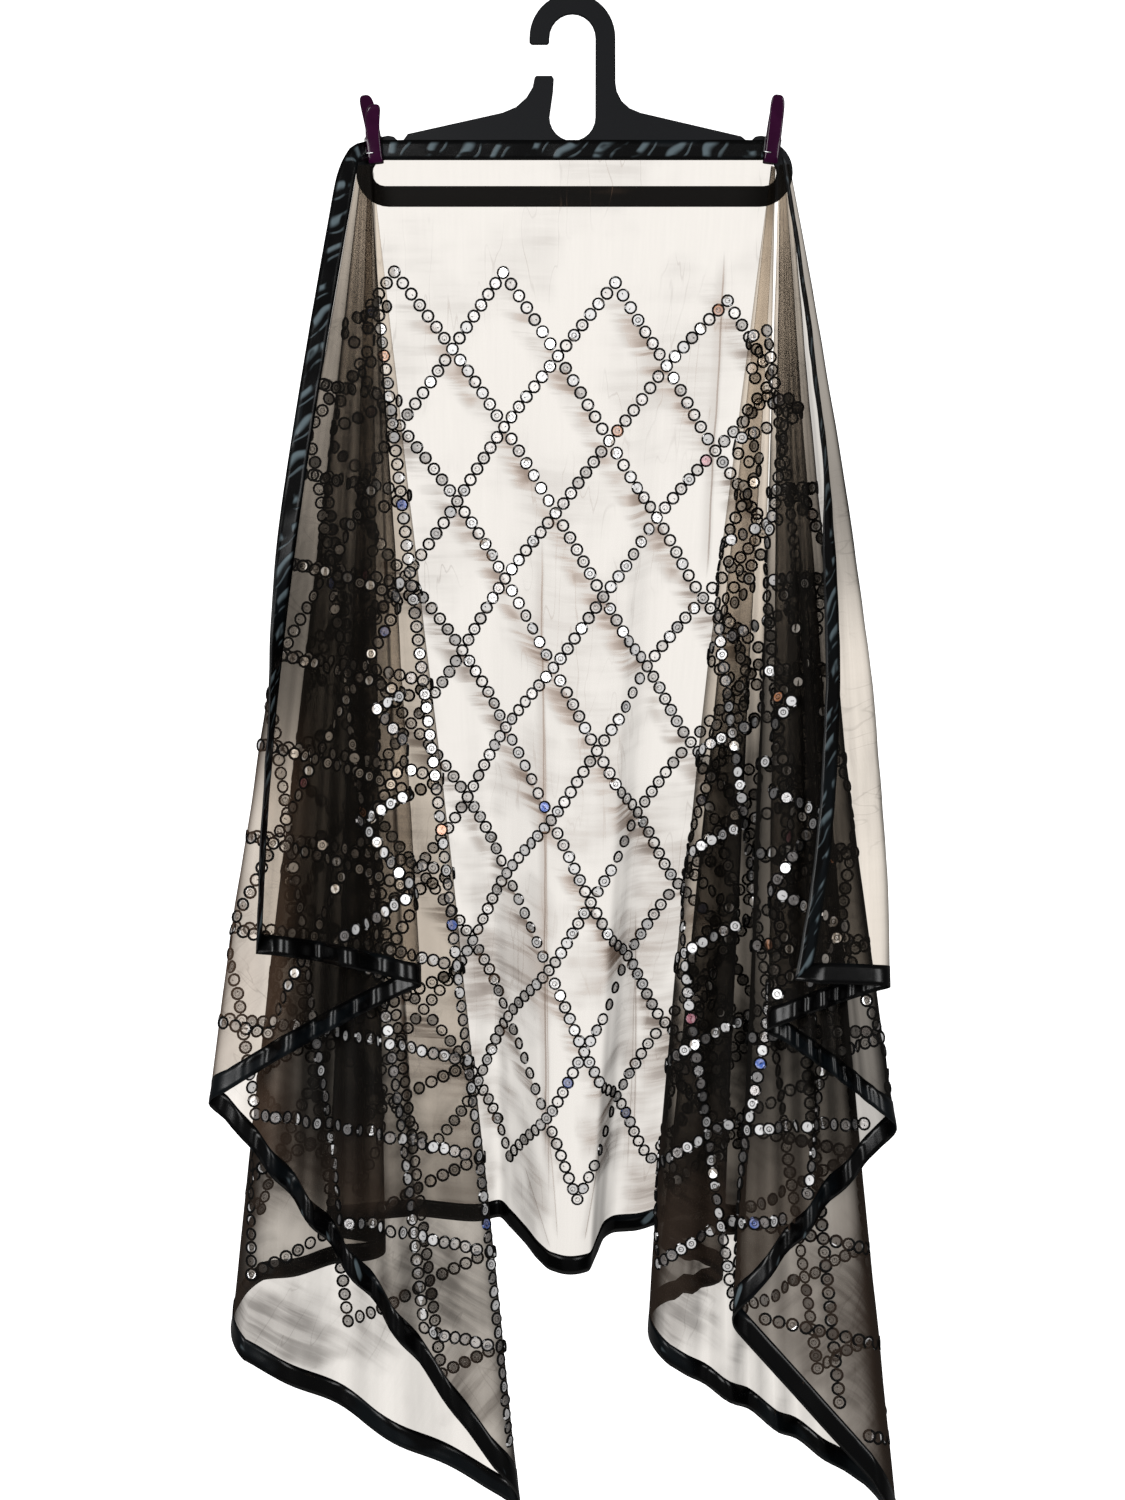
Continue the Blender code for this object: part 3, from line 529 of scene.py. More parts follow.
def film_finish():
    """Clear glossy sequin film. Much of it is painted white or grey as a painted highlight of film
    catching the light, a few sequins are tinted, and a dark spot at the hole is painted shade.
    """
    made = Finish("sequin_film")
    # Each sequin's tint and painted light, as a colour and how much of it shows.
    dye = made.attribute("dye")
    place = made.attribute("disc")
    parts = made.node("ShaderNodeSeparateXYZ", {}, {0: place.outputs["Vector"]})
    x = made.number(parts, "X")
    y = made.number(parts, "Y")
    own = made.number(parts, "Z")
    radius = (x * x + y * y) ** 0.5
    marked = made.number(dye, "Alpha")
    ring = 1 - abs(radius - 0.45).spread(0.04, 0.16)
    # Painted shade: a dark spot in the film round the hole.
    middle = 1 - radius.spread(0.06, 0.16)
    swirl = made.noise(made.point(x * 1.3, y * 1.3, own * 40), 1.0, 2.0, 0.5, 0.8)
    has_ring = (own * 7.3).math("FRACT").spread(0.50, 0.51)
    dark = (ring * has_ring * 0.85).most(middle * 0.7)
    clear_film = marked.spread(0.0, 1.0, 0.06, 0.96, False)
    shade = made.mix(swirl.spread(0.35, 0.65) * 0.3, dye.outputs["Color"], (0.80, 0.76, 0.77))
    made.surface(
        Base_Color=made.mix(dark, shade, (0.015, 0.013, 0.012)),
        Roughness=0.16 + swirl * 0.16,
        Metallic=0.25,
        Alpha=clear_film.most(dark * 0.8),
        Normal=made.bump(swirl, 0.0006, 0.5),
    )
    return made.material


def thread_finish():
    """Black sewing thread."""
    made = Finish("black_thread")
    place = made.object_place()
    fuzz = made.noise(place, 1600.0, 2.0, 0.6)
    made.surface(
        Base_Color=made.mix(fuzz, (0.0008, 0.0007, 0.0007), (0.0022, 0.0020, 0.0020)),
        Roughness=0.65 + fuzz * 0.3,
        Specular_IOR_Level=0.12,
        Normal=made.bump(fuzz, 0.0003, 0.6),
    )
    return made.material


def hanger_finish():
    """Matt black moulded plastic with a fine grain and a little wear."""
    made = Finish("matt_black_plastic")
    place = made.object_place()
    grain = made.noise(place, 900.0, 3.0, 0.6)
    flow = made.noise(place, 14.0, 3.0, 0.5, 0.5)
    scuffs = made.noise(place, 70.0, 5.0, 0.7).spread(0.62, 0.78)
    made.surface(
        Base_Color=made.mix(flow, (0.0020, 0.0024, 0.0034), (0.0042, 0.0046, 0.0058)),
        Roughness=0.46 + grain * 0.10 - flow * 0.10 + scuffs * 0.14,
        Specular_IOR_Level=0.12,
        Normal=made.bump(grain * 0.5 + scuffs * 0.4, 0.0002, 0.5),
    )
    return made.material


def peg_finish():
    """Deep purple glossy plastic."""
    made = Finish("purple_plastic")
    place = made.object_place()
    flow = made.noise(place, 55.0, 3.0, 0.5, 0.6)
    grain = made.noise(place, 1500.0, 2.0, 0.6)
    made.surface(
        Base_Color=made.mix(flow, (0.012, 0.0006, 0.009), (0.030, 0.0020, 0.022)),
        Roughness=0.11 + flow * 0.08,
        Coat_Weight=0.04,
        Specular_IOR_Level=0.22,
        Normal=made.bump(flow * 0.6 + grain * 0.2, 0.0004, 0.4),
    )
    return made.material


def wire_finish():
    """Bright spring steel, drawn along its length."""
    made = Finish("spring_steel")
    place = made.object_place()
    drawn = made.noise(place, 700.0, 2.0, 0.5)
    made.surface(
        Base_Color=made.mix(drawn, (0.42, 0.42, 0.44), (0.66, 0.66, 0.67)),
        Roughness=0.24 + drawn * 0.14,
        Metallic=1.0,
        Normal=made.bump(drawn, 0.0001, 0.4),
    )
    return made.material


def floor_finish():
    """Pale matt floor, a little uneven."""
    made = Finish("pale_floor")
    worn = made.noise(made.object_place(), 3.0, 3.0, 0.5)
    made.surface(Base_Color=made.mix(worn, (0.74, 0.73, 0.71), (0.80, 0.79, 0.77)), Roughness=0.8)
    return made.material


# ---------------------------------------------------------------- how the cloth hangs


def smooth_through(knots, values, at):
    """A curve through the rows that never swings past them."""
    spans = [after - before for before, after in zip(knots, knots[1:])]
    rises = [(after - before) / span for before, after, span in zip(values, values[1:], spans)]
    part = max(index for index in range(len(spans)) if at >= knots[index] or index == 0)
    share = (at - knots[part]) / spans[part]
    slopes = []
    for index in (part, part + 1):
        before = rises[max(index - 1, 0)]
        after = rises[min(index, len(rises) - 1)]
        slopes.append(0.0 if before * after <= 0 else 2.0 * before * after / (before + after))
    arrived = 3 * share**2 - 2 * share**3
    leave = (share**3 - 2 * share**2 + share) * slopes[0] * spans[part]
    arrive = (share**3 - share**2) * slopes[1] * spans[part]
    return (1 - arrived) * values[part] + arrived * values[part + 1] + leave + arrive


def along_ray(side, ahead):
    """The way that a line of cloth hangs, from its two angles in degrees."""
    side = math.radians(side)
    ahead = math.radians(ahead)
    level = math.cos(ahead)
    return Vector((math.sin(side) * level, -math.sin(ahead), -math.cos(side) * level))


class Fall:
    """The cloth beyond one peg, as lines that fan out from the peg's jaw."""

    def __init__(self, folds, twist, peg_x, length, rise):
        self.folds = folds
        self.twist = twist
        self.peg_x = peg_x
        self.length = length
        self.rise = rise
        self.drop = CLOTH_WIDTH - RIBBON
        self.ripple = [self.ripple_height(index) for index in range(len(folds) - 1)]
        self.sections = {}

    def half_turn(self, fold):
        """Half the cloth that goes round a fold's turn, in degrees."""
        radius = fold.turn / 2
        wide = min(radius, TURN_SIDE)
        return math.pi / 2 * math.sqrt((radius**2 + wide**2) / 2)

    def heading(self, index):
        """+1 where the cloth arrives at this fold towards +X, and -1 towards -X."""
        step = max(index, 1)
        return 1.0 if self.folds[step].side_end > self.folds[step - 1].side_end else -1.0

    def leg(self, index, share, height):
        """Where the cloth hangs between two folds."""
        start = self.folds[index]
        stop = self.folds[index + 1]
        back = self.heading(index) * min(start.turn / 2, TURN_SIDE)
        ahead_back = self.heading(index + 1) * min(stop.turn / 2, TURN_SIDE)
        neck_back = self.heading(index) * (NECK_TURN if start.turn else 0.0)
        neck_ahead = self.heading(index + 1) * (NECK_TURN if stop.turn else 0.0)
        ripple = height * math.sin(math.pi * share) * math.sin(2 * math.pi * stop.ripples * share)

        def part_way(first, second):
            return first + (second - first) * share

        return (
            part_way(start.side_top - back, stop.side_top - ahead_back),
            part_way(start.side_end - back, stop.side_end - ahead_back),
            part_way(start.ahead + start.turn / 2, stop.ahead - stop.turn / 2),
            part_way(start.neck_side - neck_back, stop.neck_side - neck_ahead),
            ripple * self.heading(index + 1),
        )

    def leg_length(self, index, height):
        """The cloth between two folds, in degrees round the peg."""
        total = 0.0
        before = None
        for step in range(ARCS_TRIED + 1):
            _, side, ahead, _, ripple = self.leg(index, step / ARCS_TRIED, height)
            here = along_ray(side, ahead + ripple)
            if before is not None:
                total += math.degrees((here - before).length)
            before = here
        return total

    def ripple_height(self, index):
        """How deep the ripples between two folds are, to take up the cloth that lies there."""
        start = self.folds[index]
        stop = self.folds[index + 1]
        cloth = stop.cloth_angle - start.cloth_angle - self.half_turn(start) - self.half_turn(stop)
        low = 0.0
        high = 2.0
        if not stop.ripples:
            return low
        for _ in range(HALVINGS):
            middle = (low + high) / 2
            if self.leg_length(index, middle) < cloth:
                low = middle
            else:
                high = middle
        return low

    def section(self, angle):
        """The side_top, side_end, ahead, neck_side and ripple of the line at one cloth angle."""
        if angle not in self.sections:
            self.sections[angle] = self.find_section(angle)
        return self.sections[angle]

    def find_section(self, angle):
        """The section at one cloth angle, in the turn of a fold or on the leg between two."""
        for index, fold in enumerate(self.folds):
            half = self.half_turn(fold)
            if fold.turn and abs(angle - fold.cloth_angle) <= half:
                swing = (angle - fold.cloth_angle) / half * math.pi / 2
                wide = self.heading(index) * min(fold.turn / 2, TURN_SIDE) * (1 - math.cos(swing))
                neck = self.heading(index) * NECK_TURN * (1 - math.cos(swing))
                ahead = fold.ahead + fold.turn / 2 * math.sin(swing)
                return fold.side_top - wide, fold.side_end - wide, ahead, fold.neck_side - neck, 0.0
        starts = [fold.cloth_angle for fold in self.folds[:-1]]
        index = max(i for i, start in enumerate(starts) if angle >= start or i == 0)
        first = self.folds[index].cloth_angle + self.half_turn(self.folds[index])
        last = self.folds[index + 1].cloth_angle - self.half_turn(self.folds[index + 1])
        share = min(max((angle - first) / (last - first), 0.0), 1.0)
        return self.leg(index, share, self.ripple[index])

    def reach(self, angle):
        """From the jaw to the cloth's edge, along the line at one cloth angle."""
        turned = math.radians(angle)
        return min(self.drop / max(math.cos(turned), MM), self.length / max(math.sin(turned), MM))

    def ray_point(self, radius, angle):
        """The point of cloth so far out from the jaw's middle, along one line."""
        side_top, side_end, ahead, neck_side, ripple = self.section(angle)
        share = (radius / self.reach(angle)) ** 2
        side = side_top + (side_end - side_top) * share
        neck_ahead = NECK_REACH * math.radians(ahead)
        start = Vector((self.peg_x + neck_side * MM, CLOTH_Y - neck_ahead, CLOTH_TOP_Z - RIBBON))
        return start + radius * along_ray(side, ahead + ripple)

    def place(self, along, down):
        """The point of cloth so far along from the peg and so far down from the top edge."""
        below = down - RIBBON
        if below >= 0:
            return self.ray_point(math.hypot(along, below), math.degrees(math.atan2(along, below)))
        if self.rise and along < NECK:
            start = Vector((self.peg_x - JAW_SIDE, CLOTH_Y - MM / 2, CLOTH_TOP_Z - down))
            return start.lerp(self.place(NECK, down), along / NECK)
        edge = self.ray_point(along, 90.0)
        run = (self.ray_point(along + MM, 90.0) - edge).normalized()
        shares = [row.share for row in self.twist]
        facings = [row.facing for row in self.twist]
        facing = math.radians(smooth_through(shares, facings, along / self.length))
        across = Vector((math.cos(facing), -math.sin(facing), 0.0))
        across = (across - run * across.dot(run)).normalized()
        if along < self.rise:
            risen = (1 - along / self.rise) ** 2
            across = (across * (1 - risen) + Vector((0.0, 0.0, 1.0)) * risen).normalized()
        return edge - across * below

    def corner(self):
        """The cloth angle of the corner inside the ribbon."""
        return math.degrees(math.atan2(self.length - RIBBON, self.drop - RIBBON))

    def angles(self, first, last):
        """Cloth angles from first to last, close together at the turns."""
        found = [first, last]
        count = max(round((last - first) / ANGLE_STEP), 1)
        found += [first + (last - first) * step / count for step in range(1, count)]
        for fold in self.folds:
            half = self.half_turn(fold)
            if fold.turn:
                swings = [2 * step / TURN_STEPS - 1 for step in range(TURN_STEPS + 1)]
                found += [fold.cloth_angle + half * swing for swing in swings]
        kept = [first]
        for angle in sorted(found):
            if angle - kept[-1] > ANGLE_STEP / 3 and last - angle > ANGLE_STEP / 3:
                kept.append(angle)
        return kept + [last]


LEFT_FALL = Fall(LEFT_FOLDS, LEFT_TWIST, LEFT_PEG_X, LEFT_LENGTH, LEFT_RISE)
RIGHT_FALL = Fall(RIGHT_FOLDS, RIGHT_TWIST, LEFT_PEG_X + PEG_SPACING, RIGHT_LENGTH, 0.0)

# Each fall, with its name, its way along the cloth and where it starts there.
SIDES = (("left", LEFT_FALL, -1.0, 0.0), ("right", RIGHT_FALL, 1.0, PEG_SPACING))


def panel_low():
    """A curve through the panel's hem, as knots along the cloth and the places there."""
    ends = [LEFT_FALL.place(0.0, CLOTH_WIDTH), RIGHT_FALL.place(0.0, CLOTH_WIDTH)]
    knots = [0.0] + [line.along * MM for line in PANEL_LINES] + [PEG_SPACING]
    places = [ends[0]]
    for line in PANEL_LINES:
        places.append(
            Vector(
                (
                    LEFT_PEG_X + (line.along + line.inward) * MM,
                    CLOTH_Y - line.ahead * MM,
                    CLOTH_TOP_Z - CLOTH_WIDTH - line.drop * MM,
                )
            )
        )
    return knots, places + [ends[1]]


PANEL_KNOTS, PANEL_PLACES = panel_low()
PANEL_HEM = {}


def panel_hem(along):
    """A point of the centre panel's hem."""
    if along not in PANEL_HEM:
        rows = [[place[axis] for place in PANEL_PLACES] for axis in range(3)]
        PANEL_HEM[along] = Vector([smooth_through(PANEL_KNOTS, row, along) for row in rows])
    return PANEL_HEM[along]


def panel_place(along, down):
    """A point of the centre panel: its upright lines run from the bar to the hem."""
    left_top = LEFT_FALL.place(0.0, RIBBON)
    right_top = RIGHT_FALL.place(0.0, RIBBON)
    share = along / PEG_SPACING
    top = left_top.lerp(right_top, share)
    if down < RIBBON:
        return Vector((top.x, CLOTH_Y, top.z + RIBBON - down))
    fallen = (down - RIBBON) / (CLOTH_WIDTH - RIBBON)
    here = top.lerp(panel_hem(along), fallen)
    left_bow = LEFT_FALL.place(0.0, down) - left_top.lerp(PANEL_PLACES[0], fallen)
    right_bow = RIGHT_FALL.place(0.0, down) - right_top.lerp(PANEL_PLACES[-1], fallen)
    return here + left_bow * (1 - share) + right_bow * share


def cloth_place(along, down):
    """A point of the whole cloth. along is from the left peg, below 0 on the left fall."""
    if along < 0:
        return LEFT_FALL.place(-along, down)
    if along > PEG_SPACING:
        return RIGHT_FALL.place(along - PEG_SPACING, down)
    return panel_place(along, down)


def right_side(along, down):
    """Square to the cloth, out of its right side."""
    step = MM / 5
    across = cloth_place(along + step, down) - cloth_place(along - step, down)
    fall = cloth_place(along, down + step) - cloth_place(along, down - step)
    return fall.cross(across).normalized()


def from_neck(along, down):
    """How far a point of cloth is from the nearest peg's jaw."""
    return min(math.hypot(along, down - RIBBON), math.hypot(along - PEG_SPACING, down - RIBBON))


def crease_height(along, down):
    """How far soft creases lift the cloth, in metres."""
    broad = noise.noise(Vector((along * BROAD_SCALE, down * BROAD_SCALE * 0.5, 0.3)))
    fine = noise.noise(Vector((along * FINE_SCALE, down * FINE_SCALE * 0.3, 5.1)))
    eased = min(from_neck(along, down) / CREASE_REACH, 1.0)
    return (BROAD_CREASE * broad * eased + FINE_CREASE * fine * min(eased * 3, 1.0)) * MM


def creased_place(along, down):
    """A point of the whole cloth, with its soft creases."""
    return cloth_place(along, down) + right_side(along, down) * crease_height(along, down)


# ---------------------------------------------------------------- making meshes


def finished(name, shape, materials, smooth=True):
    """An object from a bmesh."""
    mesh = bpy.data.meshes.new(name)
    shape.to_mesh(mesh)
    shape.free()
    for material in materials:
        mesh.materials.append(material)
    if smooth:
        mesh.shade_smooth()
    item = bpy.data.objects.new(name, mesh)
    bpy.context.scene.collection.objects.link(item)
    return item


def grid_of(columns, mapped):
    """A flat grid with a point for each entry of the columns, and each point's column and row.

    mapped gives the piece's map, from a column and a row.
    """
    shape = bmesh.new()
    across = len(columns) - 1
    rows = len(columns[0]) - 1
    bmesh.ops.create_grid(shape, x_segments=across, y_segments=rows, size=1.0)
    cut = shape.loops.layers.uv.new("cut")
    cells = {}
    for vert in shape.verts:
        column = round((vert.co.x + 1) / 2 * across)
        row = round((vert.co.y + 1) / 2 * rows)
        cells[vert] = (column, row)
    for face in shape.faces:
        for loop in face.loops:
            loop[cut].uv = mapped(*cells[loop.vert])
    return shape, cells


def net_grid(columns):
    """A stretch of net, with the cut itself as its map."""
    shape, cells = grid_of(columns, lambda column, row: columns[column][row])
    for vert, (column, row) in cells.items():
        vert.co = creased_place(*columns[column][row])
    return shape


def joined(shapes):
    """Several grids as one."""
    whole = bmesh.new()
    for shape in shapes:
        mesh = bpy.data.meshes.new("part")
        shape.to_mesh(mesh)
        shape.free()
        whole.from_mesh(mesh)
        bpy.data.meshes.remove(mesh)
    return whole


def net_columns():
    """The columns of the net's three grids."""
    rows = [(row / NET_ROWS) ** ROW_CROWDING for row in range(NET_ROWS + 1)]
    under_ribbon = RIBBON * 0.25
    low = CLOTH_WIDTH - RIBBON + under_ribbon
    panel = []
    for step in range(PANEL_COLUMNS + 1):
        along = PEG_SPACING * step / PANEL_COLUMNS
        downs = [RIBBON + NECK + (low - RIBBON - NECK) * row for row in rows]
        panel.append([(along, RIBBON - under_ribbon)] + [(along, down) for down in downs])
    fans = []
    for _, fall, side, base in SIDES:
        fan = []
        low_reach = low - RIBBON
        end = fall.length - RIBBON + under_ribbon
        corner = math.degrees(math.atan2(end, low_reach))
        for angle in fall.angles(0.0, corner)[:-1] + fall.angles(corner, 90.0):
            turned = math.radians(angle)
            far = min(low_reach / max(math.cos(turned), MM), end / max(math.sin(turned), MM))
            column = []
            for row in rows:
                radius = NECK + (far - NECK) * row
                out = base + side * radius * math.sin(turned)
                column.append((out, RIBBON + radius * math.cos(turned)))
            fan.append(column)
        fans.append(fan)
    return [panel] + fans


def make_net(material):
    """The whole net as one piece. gather says how much of it a look through it crosses."""
    shape = joined([net_grid(columns) for columns in net_columns()])
    bmesh.ops.remove_doubles(shape, verts=shape.verts, dist=MM / 20)
    gather = shape.verts.layers.float.new("gather")
    shape.normal_update()
    for vert in shape.verts:
        vert[gather] = 1 / max(abs(vert.normal.y), NET_EDGE_ON)
    return finished("net", shape, [material])


# ---------------------------------------------------------------- satin ribbons


def pucker(along, across):
    """How far the ribbon's stitching puckers it, in metres."""
    wave = noise.noise(Vector((along * 42, across * 1.5, 9.7)))
    bend = noise.noise(Vector((along * 16, 0.0, 2.2)))
    return (0.75 * wave + 0.5 * bend) * MM


def ribbon_strip(part, columns, material, loose=1.0):
    """A satin strip from columns of (along, down) points, with its map along and across."""
    rows = len(columns[0]) - 1
    travelled = [0.0]
    middles = [cloth_place(*column[rows // 2]) for column in columns]
    for before, after in zip(middles, middles[1:]):
        travelled.append(travelled[-1] + (after - before).length)
    shape, cells = grid_of(columns, lambda column, row: (travelled[column], row / rows))
    for vert, (column, row) in cells.items():
        along, down = columns[column][row]
        lift = pucker(travelled[column], row / rows) * loose
        vert.co = creased_place(along, down) + right_side(along, down) * lift
    bmesh.ops.recalc_face_normals(shape, faces=shape.faces)
    item = finished("satin_" + part, shape, [material])
    wall = item.modifiers.new("wall", "SOLIDIFY")
    wall.thickness = RIBBON_THICK
    wall.offset = 0.0
    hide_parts("ribbon_" + part)
    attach(item, "root")
    return item


def between(first, last):
    """Points across the ribbon, from one (along, down) to another."""
    along, down = first
    wide = last[0] - along
    deep = last[1] - down
    return [
        (along + wide * row / RIBBON_ROWS, down + deep * row / RIBBON_ROWS)
        for row in range(RIBBON_ROWS + 1)
    ]


def panel_strip(first_down, last_down):
    """Along the centre panel, from peg to peg."""
    count = round(PEG_SPACING / RIBBON_STEP * PANEL_FINER)
    columns = []
    for step in range(count + 1):
        along = PEG_SPACING * step / count
        columns.append(between((along, first_down), (along, last_down)))
    return columns


def mitre(fall, side, base):
    """The seam across a low corner, from inside the ribbon to the corner's point."""
    inner = (base + side * (fall.length - RIBBON), CLOTH_WIDTH - RIBBON)
    return between(inner, (base + side * fall.length, CLOTH_WIDTH))


def hem_strip(fall, side, base):
    """Along the hem, from the drop below the peg to the mitred corner."""
    columns = []
    for angle in fall.angles(0.0, fall.corner())[:-1]:
        slope = math.tan(math.radians(angle))
        inner = min(slope * (fall.drop - RIBBON), fall.length - RIBBON)
        outer = min(slope * fall.drop, fall.length)
        start = (base + side * inner, CLOTH_WIDTH - RIBBON)
        columns.append(between(start, (base + side * outer, CLOTH_WIDTH)))
    return columns + [mitre(fall, side, base)]


def end_strip(fall, side, base):
    """Up the end, from the mitred corner at the hem to the one at the top."""
    inside = fall.length - RIBBON
    columns = [mitre(fall, side, base)]
    for angle in fall.angles(fall.corner(), LAST_RAY)[1:]:
        slope = math.tan(math.radians(90.0 - angle))
        start = (base + side * inside, RIBBON + slope * inside)
        columns.append(between(start, (base + side * fall.length, RIBBON + slope * fall.length)))
    columns.append(between((base + side * inside, RIBBON), (base + side * fall.length, 0.0)))
    return columns


def free_strip(fall, side, base):
    """The top edge's ribbon beyond the peg, hanging with the fall."""
    count = round(fall.length / RIBBON_STEP)
    first = 0.0 if fall.rise else NECK
    columns = []
    for step in range(count + 1):
        outer = first + (fall.length - first) * step / count
        inner = first + (fall.length - RIBBON - first) * step / count
        columns.append(between((base + side * outer, 0.0), (base + side * inner, RIBBON)))
    return columns


def make_ribbons(plain, gathered):
    """The binding, in the stretches that the drape makes of it."""
    strips = [
        ribbon_strip("top_centre", panel_strip(0.0, RIBBON), gathered, 0.5),
        ribbon_strip("hem_centre", panel_strip(CLOTH_WIDTH - RIBBON, CLOTH_WIDTH), plain),
    ]
    for word, fall, side, base in SIDES:
        strips.append(ribbon_strip("hem_" + word, hem_strip(fall, side, base), plain))
        strips.append(ribbon_strip("end_" + word, end_strip(fall, side, base), plain))
        strips.append(ribbon_strip("top_" + word, free_strip(fall, side, base), gathered))
    return strips


# ---------------------------------------------------------------- sequins


def crossing(half_along, row):
    """Where two chains cross, in the cloth."""
    along = FIRST_ALONG + CELL_ALONG * half_along / 2
    down = FIRST_DOWN + CELL_DOWN * row / 2
    share = max((along - SAG_FROM) / SAG_REACH, 0.0)
    sag = LATTICE_SAG * min(share, SAG_MOST) ** SAG_POWER * max(0.0, 1 - row / LATTICE_ROWS)
    return along + LATTICE_STRETCH * min(share, 1.0), down + sag


def lattice_places():
    """Every sequin's place in the cloth."""
    first = -LEFT_LENGTH + RIBBON
    last = PEG_SPACING + RIGHT_LENGTH - RIBBON
    lowest = CLOTH_WIDTH - RIBBON
    found = []
    first_column = math.floor((first - FIRST_ALONG) / CELL_ALONG * 2) - 1
    last_column = math.ceil((last - FIRST_ALONG) / CELL_ALONG * 2) + 1
    for column in range(first_column, last_column + 1):
        for row in range(LATTICE_ROWS + 1):
            if (column + row) % 2:
                continue
            start = crossing(column, row)
            found.append(start)
            for step in (-1, 1):
                if row == LATTICE_ROWS:
                    continue
                stop = crossing(column + step, row + 1)
                for part in range(1, BETWEEN_CROSSINGS):
                    share = part / BETWEEN_CROSSINGS
                    along = start[0] + (stop[0] - start[0]) * share
                    found.append((along, start[1] + (stop[1] - start[1]) * share))
    margin = SEQUIN_RADIUS
    return [
        (along, down)
        for along, down in found
        if first + margin < along < last - margin
        and RIBBON + margin < down < lowest - margin
        and from_neck(along, down) > SEQUIN_CLEAR
    ]


def sequin_template():
    """One round sequin: a flat film with a hole, in a ring of thread."""
    shape = bmesh.new()
    bmesh.ops.create_circle(shape, segments=SEQUIN_SIDES, radius=SEQUIN_RADIUS, cap_ends=True)
    for width in (SEQUIN_RADIUS * 0.5, SEQUIN_RADIUS * 0.5 - SEQUIN_HOLE):
        middle = [face for face in shape.faces if len(face.verts) == SEQUIN_SIDES]
        bmesh.ops.inset_region(
            shape, faces=middle, thickness=width, use_boundary=True, use_even_offset=True
        )
    hole = [face for face in shape.faces if len(face.verts) == SEQUIN_SIDES]
    bmesh.ops.delete(shape, geom=hole, context="FACES")
    film = len(shape.faces)
    thread = bmesh.ops.create_circle(
        shape,
        segments=THREAD_SIDES,
        radius=THREAD_RADIUS,
        matrix=Matrix.Translation((THREAD_RING, 0, 0)) @ Matrix.Rotation(math.pi / 2, 4, "X"),
    )
    loop = {edge for vert in thread["verts"] for edge in vert.link_edges}
    bmesh.ops.spin(
        shape,
        geom=list(loop),
        cent=(0, 0, 0),
        axis=(0, 0, 1),
        angle=2 * math.pi,
        steps=SEQUIN_SIDES,
        use_merge=True,
    )
    for index, face in enumerate(shape.faces):
        face.material_index = 0 if index < film else 1
        face.smooth = True
    ring = [face for face in shape.faces if face.material_index == 1]
    bmesh.ops.recalc_face_normals(shape, faces=ring)
    mesh = bpy.data.meshes.new("sequin")
    shape.to_mesh(mesh)
    shape.free()
    return mesh


def sequin_tint_and_light(draw):
    """The colour of one sequin's film, and how much of it shows. White and grey film is painted
    light on clear film.
    """
    chance = draw.random()
    if chance < BLUE_UP_TO:
        return (0.03, 0.10, 0.42, 0.8)
    if chance < PINK_UP_TO:
        return (0.50, 0.16, 0.22, 0.6)
    if chance < ORANGE_UP_TO:
        return (0.60, 0.24, 0.10, 0.65)
    # Painted highlight: clear film shown white, as if it caught the light.
    if chance < PAINTED_LIGHT_UP_TO:
        white = draw.uniform(0.76, 0.92)
        return (white, white, white, draw.uniform(0.7, 1.0))
    # Painted half light: clear film shown grey.
    if chance < PAINTED_HALF_LIGHT_UP_TO:
        return (0.26, 0.24, 0.23, draw.uniform(0.3, 0.65))
    return (0.92, 0.90, 0.90, draw.uniform(0.02, 0.26))


def make_sequins(name, places, template, materials, seed):
    """A stretch of sewn sequins, as tilted copies of one sequin in one mesh."""
    draw = random.Random(seed)
    whole = bmesh.new()
    lean = math.radians(SEQUIN_TILT)
    film_tints_and_light = []
    owns = []
    for along, down in places:
        out = right_side(along, down)
        tilted = Vector([out[axis] + lean * draw.gauss(0, 0.7) for axis in range(3)])
        turn = tilted.to_track_quat("Z", "Y").to_matrix().to_4x4()
        centre = creased_place(along, down) + out * SEQUIN_OFF_NET
        one = template.copy()
        spun = Matrix.Rotation(draw.uniform(0, 6.28), 4, "Z")
        one.transform(Matrix.Translation(centre) @ turn @ spun)
        whole.from_mesh(one)
        bpy.data.meshes.remove(one)
        film_tints_and_light.append(sequin_tint_and_light(draw))
        owns.append(draw.random())
    item = finished(name, whole, materials)
    mesh = item.data
    # Each sequin's tint and painted light, kept on its points.
    dye = mesh.attributes.new("dye", "FLOAT_COLOR", "POINT")
    disc = mesh.attributes.new("disc", "FLOAT_VECTOR", "POINT")
    size = len(template.vertices)
    flat = [(vert.co.x / SEQUIN_RADIUS, vert.co.y / SEQUIN_RADIUS) for vert in template.vertices]
    colours = [value for row in film_tints_and_light for _ in range(size) for value in row]
    discs = [value for own in owns for x, y in flat for value in (x, y, own)]
    dye.data.foreach_set("color", colours)
    disc.data.foreach_set("vector", discs)
    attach(item, "root")
    return item


# ---------------------------------------------------------------- pegs

PEG_WIDTH = 0.0138
JAW_FOOT_UP = -0.0035
TURN_FROM_UP = 0.024
TURN_OVER = 0.036
WIRE = 0.0007
COIL_UP = 0.0255
COIL_RADIUS = 0.0026
COIL_TURNS = 2.5
COIL_STEPS = 24
JAW_FRONT_GAP = 0.0049
JAW_BACK_GAP = 0.0033
PEG_CORNER = 0.35
LEVER_SIDES = 16
ARM_CLEAR = 0.0003

# Each peg: where it stands, its lean and its handles' turn in degrees, and how far they dip.
PegStand = namedtuple("PegStand", "word x lean turn dip")

PEG_STANDS = (
    PegStand("left", LEFT_PEG_X + 0.0045, -6.0, -20.0, 0.42),
    PegStand("right", LEFT_PEG_X + PEG_SPACING - 0.001, 7.0, 5.0, -0.12),
)

# A lever's stations up from the jaw's tip: its inner and outer face and half its width, in mm.
Station = namedtuple("Station", "up inner outer half_width")

